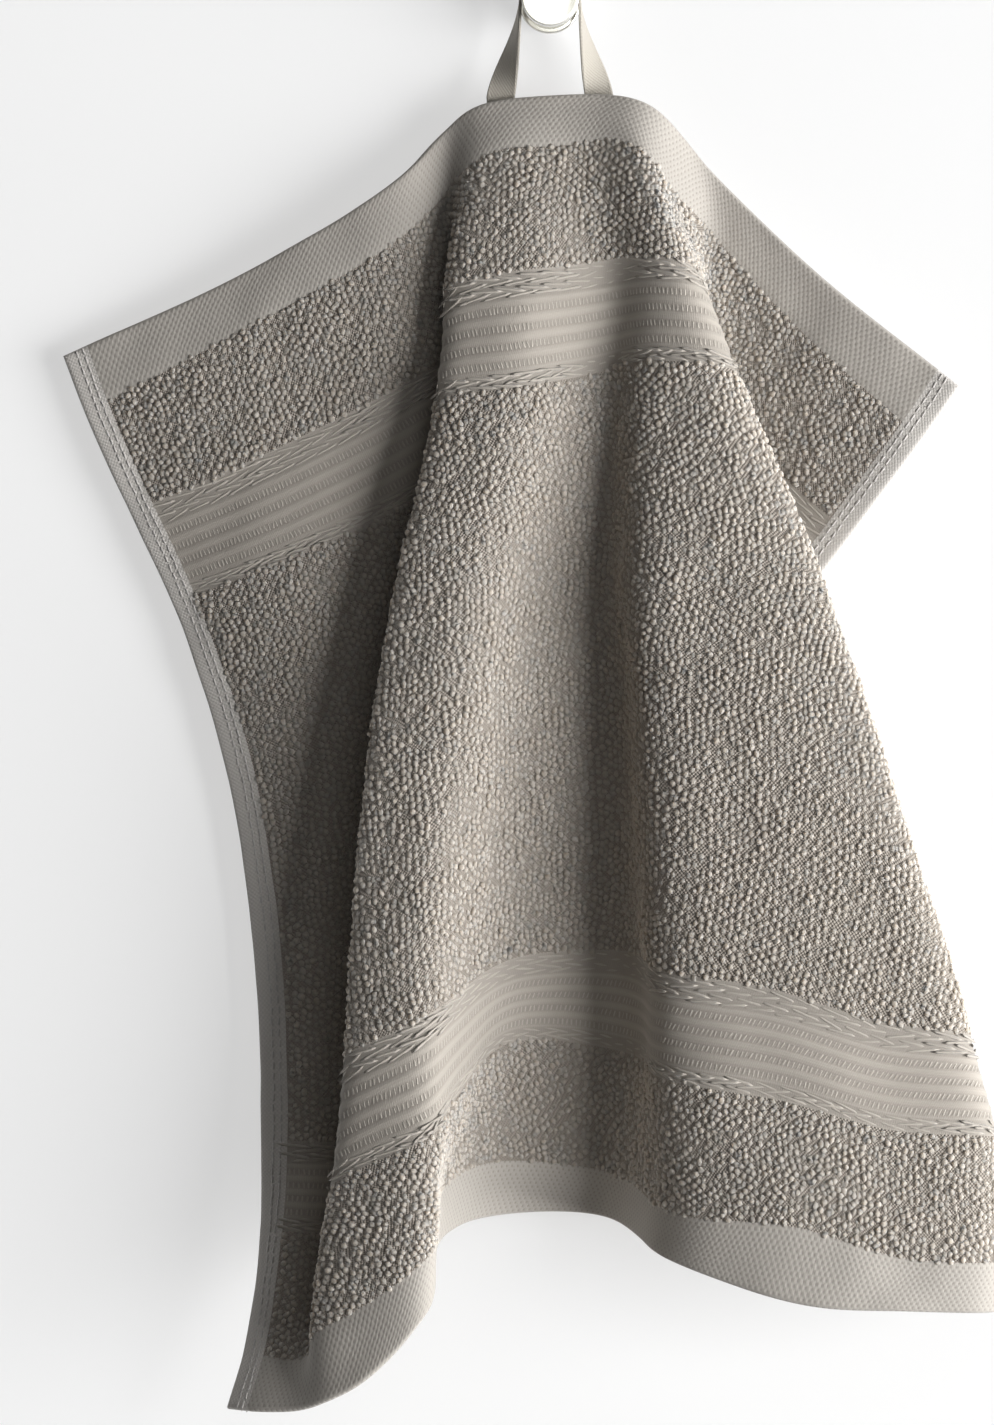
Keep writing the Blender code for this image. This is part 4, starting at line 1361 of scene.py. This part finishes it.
class TowelStage(bpy.types.PropertyGroup):
    """Lights and backdrop."""

    key_place: bpy.props.FloatVectorProperty(
        name="Key place", description="Where the key light stands",
        default=(1.7, -0.92, -0.42), unit="LENGTH", subtype="TRANSLATION",
    )
    key_width: bpy.props.FloatProperty(
        name="Key width", description="Width of the key light", default=2.2, unit="LENGTH",
    )
    key_height: bpy.props.FloatProperty(
        name="Key height", description="Height of the key light", default=1.1, unit="LENGTH",
    )
    key_power: bpy.props.FloatProperty(
        name="Key power", description="Strength of the key light", default=98.0, unit="POWER",
    )
    fill_power: bpy.props.FloatProperty(
        name="Fill power", description="Strength of the fill light", default=4.5, unit="POWER",
    )
    rear_power: bpy.props.FloatProperty(
        name="Rear power", description="Strength of the light behind", default=8.0, unit="POWER",
    )
    room_light: bpy.props.FloatProperty(
        name="Room light", description="Strength of the even light all round", default=0.03,
    )
    wall_colour: bpy.props.FloatVectorProperty(
        name="Backdrop", description="Colour of the backdrop", default=(0.34, 0.34, 0.34), subtype="COLOR",
    )
    wall_glow: bpy.props.FloatProperty(
        name="Backdrop glow", description="Light that the backdrop itself gives", default=0.55,
    )
    floor_colour: bpy.props.FloatVectorProperty(
        name="Floor", description="Colour of the floor", default=(0.7, 0.7, 0.69), subtype="COLOR",
    )


class TOWEL_OT_stage(bpy.types.Operator):
    """Sets up the floor, backdrop, lights and camera"""

    bl_idname = "towel.stage"
    bl_label = "Stage"

    def execute(self, context):
        make_stage(context.scene.towel_stage)
        return {"FINISHED"}


class TOWEL_OT_hook(bpy.types.Operator):
    """Makes the round wall hook"""

    bl_idname = "towel.hook"
    bl_label = "Hook"

    def execute(self, context):
        make_hook(context.scene.towel_colours)
        return {"FINISHED"}


class TOWEL_OT_tape(bpy.types.Operator):
    """Makes the sewn tape loop"""

    bl_idname = "towel.tape"
    bl_label = "Tape loop"

    def execute(self, context):
        make_tape(context.scene.towel_colours)
        return {"FINISHED"}


class TOWEL_OT_cloth(bpy.types.Operator):
    """Makes the woven cloth"""

    bl_idname = "towel.cloth"
    bl_label = "Cloth"

    def execute(self, context):
        make_sheet(context.scene.towel_colours)
        return {"FINISHED"}


class TOWEL_OT_pile(bpy.types.Operator):
    """Covers both faces of the cloth with loops"""

    bl_idname = "towel.pile"
    bl_label = "Pile"

    def execute(self, context):
        settings = context.scene.towel_cloth
        material = pile_finish(tuple(context.scene.towel_colours.pile))
        left = (SIDE_HEM + 0.2, CLOTH_WIDTH / 2)
        right = (CLOTH_WIDTH / 2, CLOTH_WIDTH - SIDE_HEM - 0.2)
        whole = (left[0], right[1])
        upper, body, lower = TERRY_BANDS
        make_pile("pile_body_left", (body,), left, 1.0, settings, material, 21)
        make_pile("pile_body_right", (body,), right, 1.0, settings, material, 22)
        make_pile("pile_strips", (upper, lower), whole, 1.0, settings, material, 23)
        make_pile("back_pile_body", (body,), whole, -1.0, settings, material, 24)
        make_pile("back_pile_strips", (upper, lower), whole, -1.0, settings, material, 25)
        return {"FINISHED"}


class TOWEL_OT_borders(bpy.types.Operator):
    """Lays the borders' floating yarns on both faces"""

    bl_idname = "towel.borders"
    bl_label = "Border yarns"

    def execute(self, context):
        material = float_finish("border_yarn", warmer(tuple(context.scene.towel_colours.flat)))
        source = np.random.default_rng(51)
        rows = np.concatenate([border_floats(start, source) for start in BORDER_STARTS])
        yarn_pieces("border_yarns", rows, (1.0, -1.0), material)
        return {"FINISHED"}


class TOWEL_OT_stitches(bpy.types.Operator):
    """Sews the side hems"""

    bl_idname = "towel.stitches"
    bl_label = "Side stitches"

    def execute(self, context):
        material = float_finish("sewing_thread", tuple(context.scene.towel_colours.thread))
        yarn_pieces("side_stitches", side_stitches(), (1.0, -1.0), material)
        return {"FINISHED"}


class TOWEL_PT_panel(bpy.types.Panel):
    """Lists the towel's pieces and settings"""

    bl_idname = "TOWEL_PT_panel"
    bl_label = "Face towel"
    bl_space_type = "VIEW_3D"
    bl_region_type = "UI"
    bl_category = "Towel"

    def draw(self, context):
        for kind in OPERATORS:
            self.layout.operator(kind.bl_idname)
        for group in (context.scene.towel_cloth, context.scene.towel_colours, context.scene.towel_stage):
            for name in group.__annotations__:
                self.layout.prop(group, name)


OPERATORS = (
    TOWEL_OT_stage, TOWEL_OT_hook, TOWEL_OT_tape, TOWEL_OT_cloth, TOWEL_OT_pile, TOWEL_OT_borders,
    TOWEL_OT_stitches,
)
GROUPS = {"towel_cloth": TowelCloth, "towel_colours": TowelColours, "towel_stage": TowelStage}


def register():
    for kind in (*GROUPS.values(), *OPERATORS, TOWEL_PT_panel):
        bpy.utils.register_class(kind)
    for name, kind in GROUPS.items():
        setattr(bpy.types.Scene, name, bpy.props.PointerProperty(type=kind))


def unregister():
    for name in GROUPS:
        delattr(bpy.types.Scene, name)
    for kind in reversed((*GROUPS.values(), *OPERATORS, TOWEL_PT_panel)):
        bpy.utils.unregister_class(kind)


def main():
    register()
    bpy.ops.towel.stage()
    bpy.ops.towel.hook()
    bpy.ops.towel.tape()
    bpy.ops.towel.cloth()
    bpy.ops.towel.pile()
    bpy.ops.towel.borders()
    bpy.ops.towel.stitches()


if __name__ == "__main__":
    main()
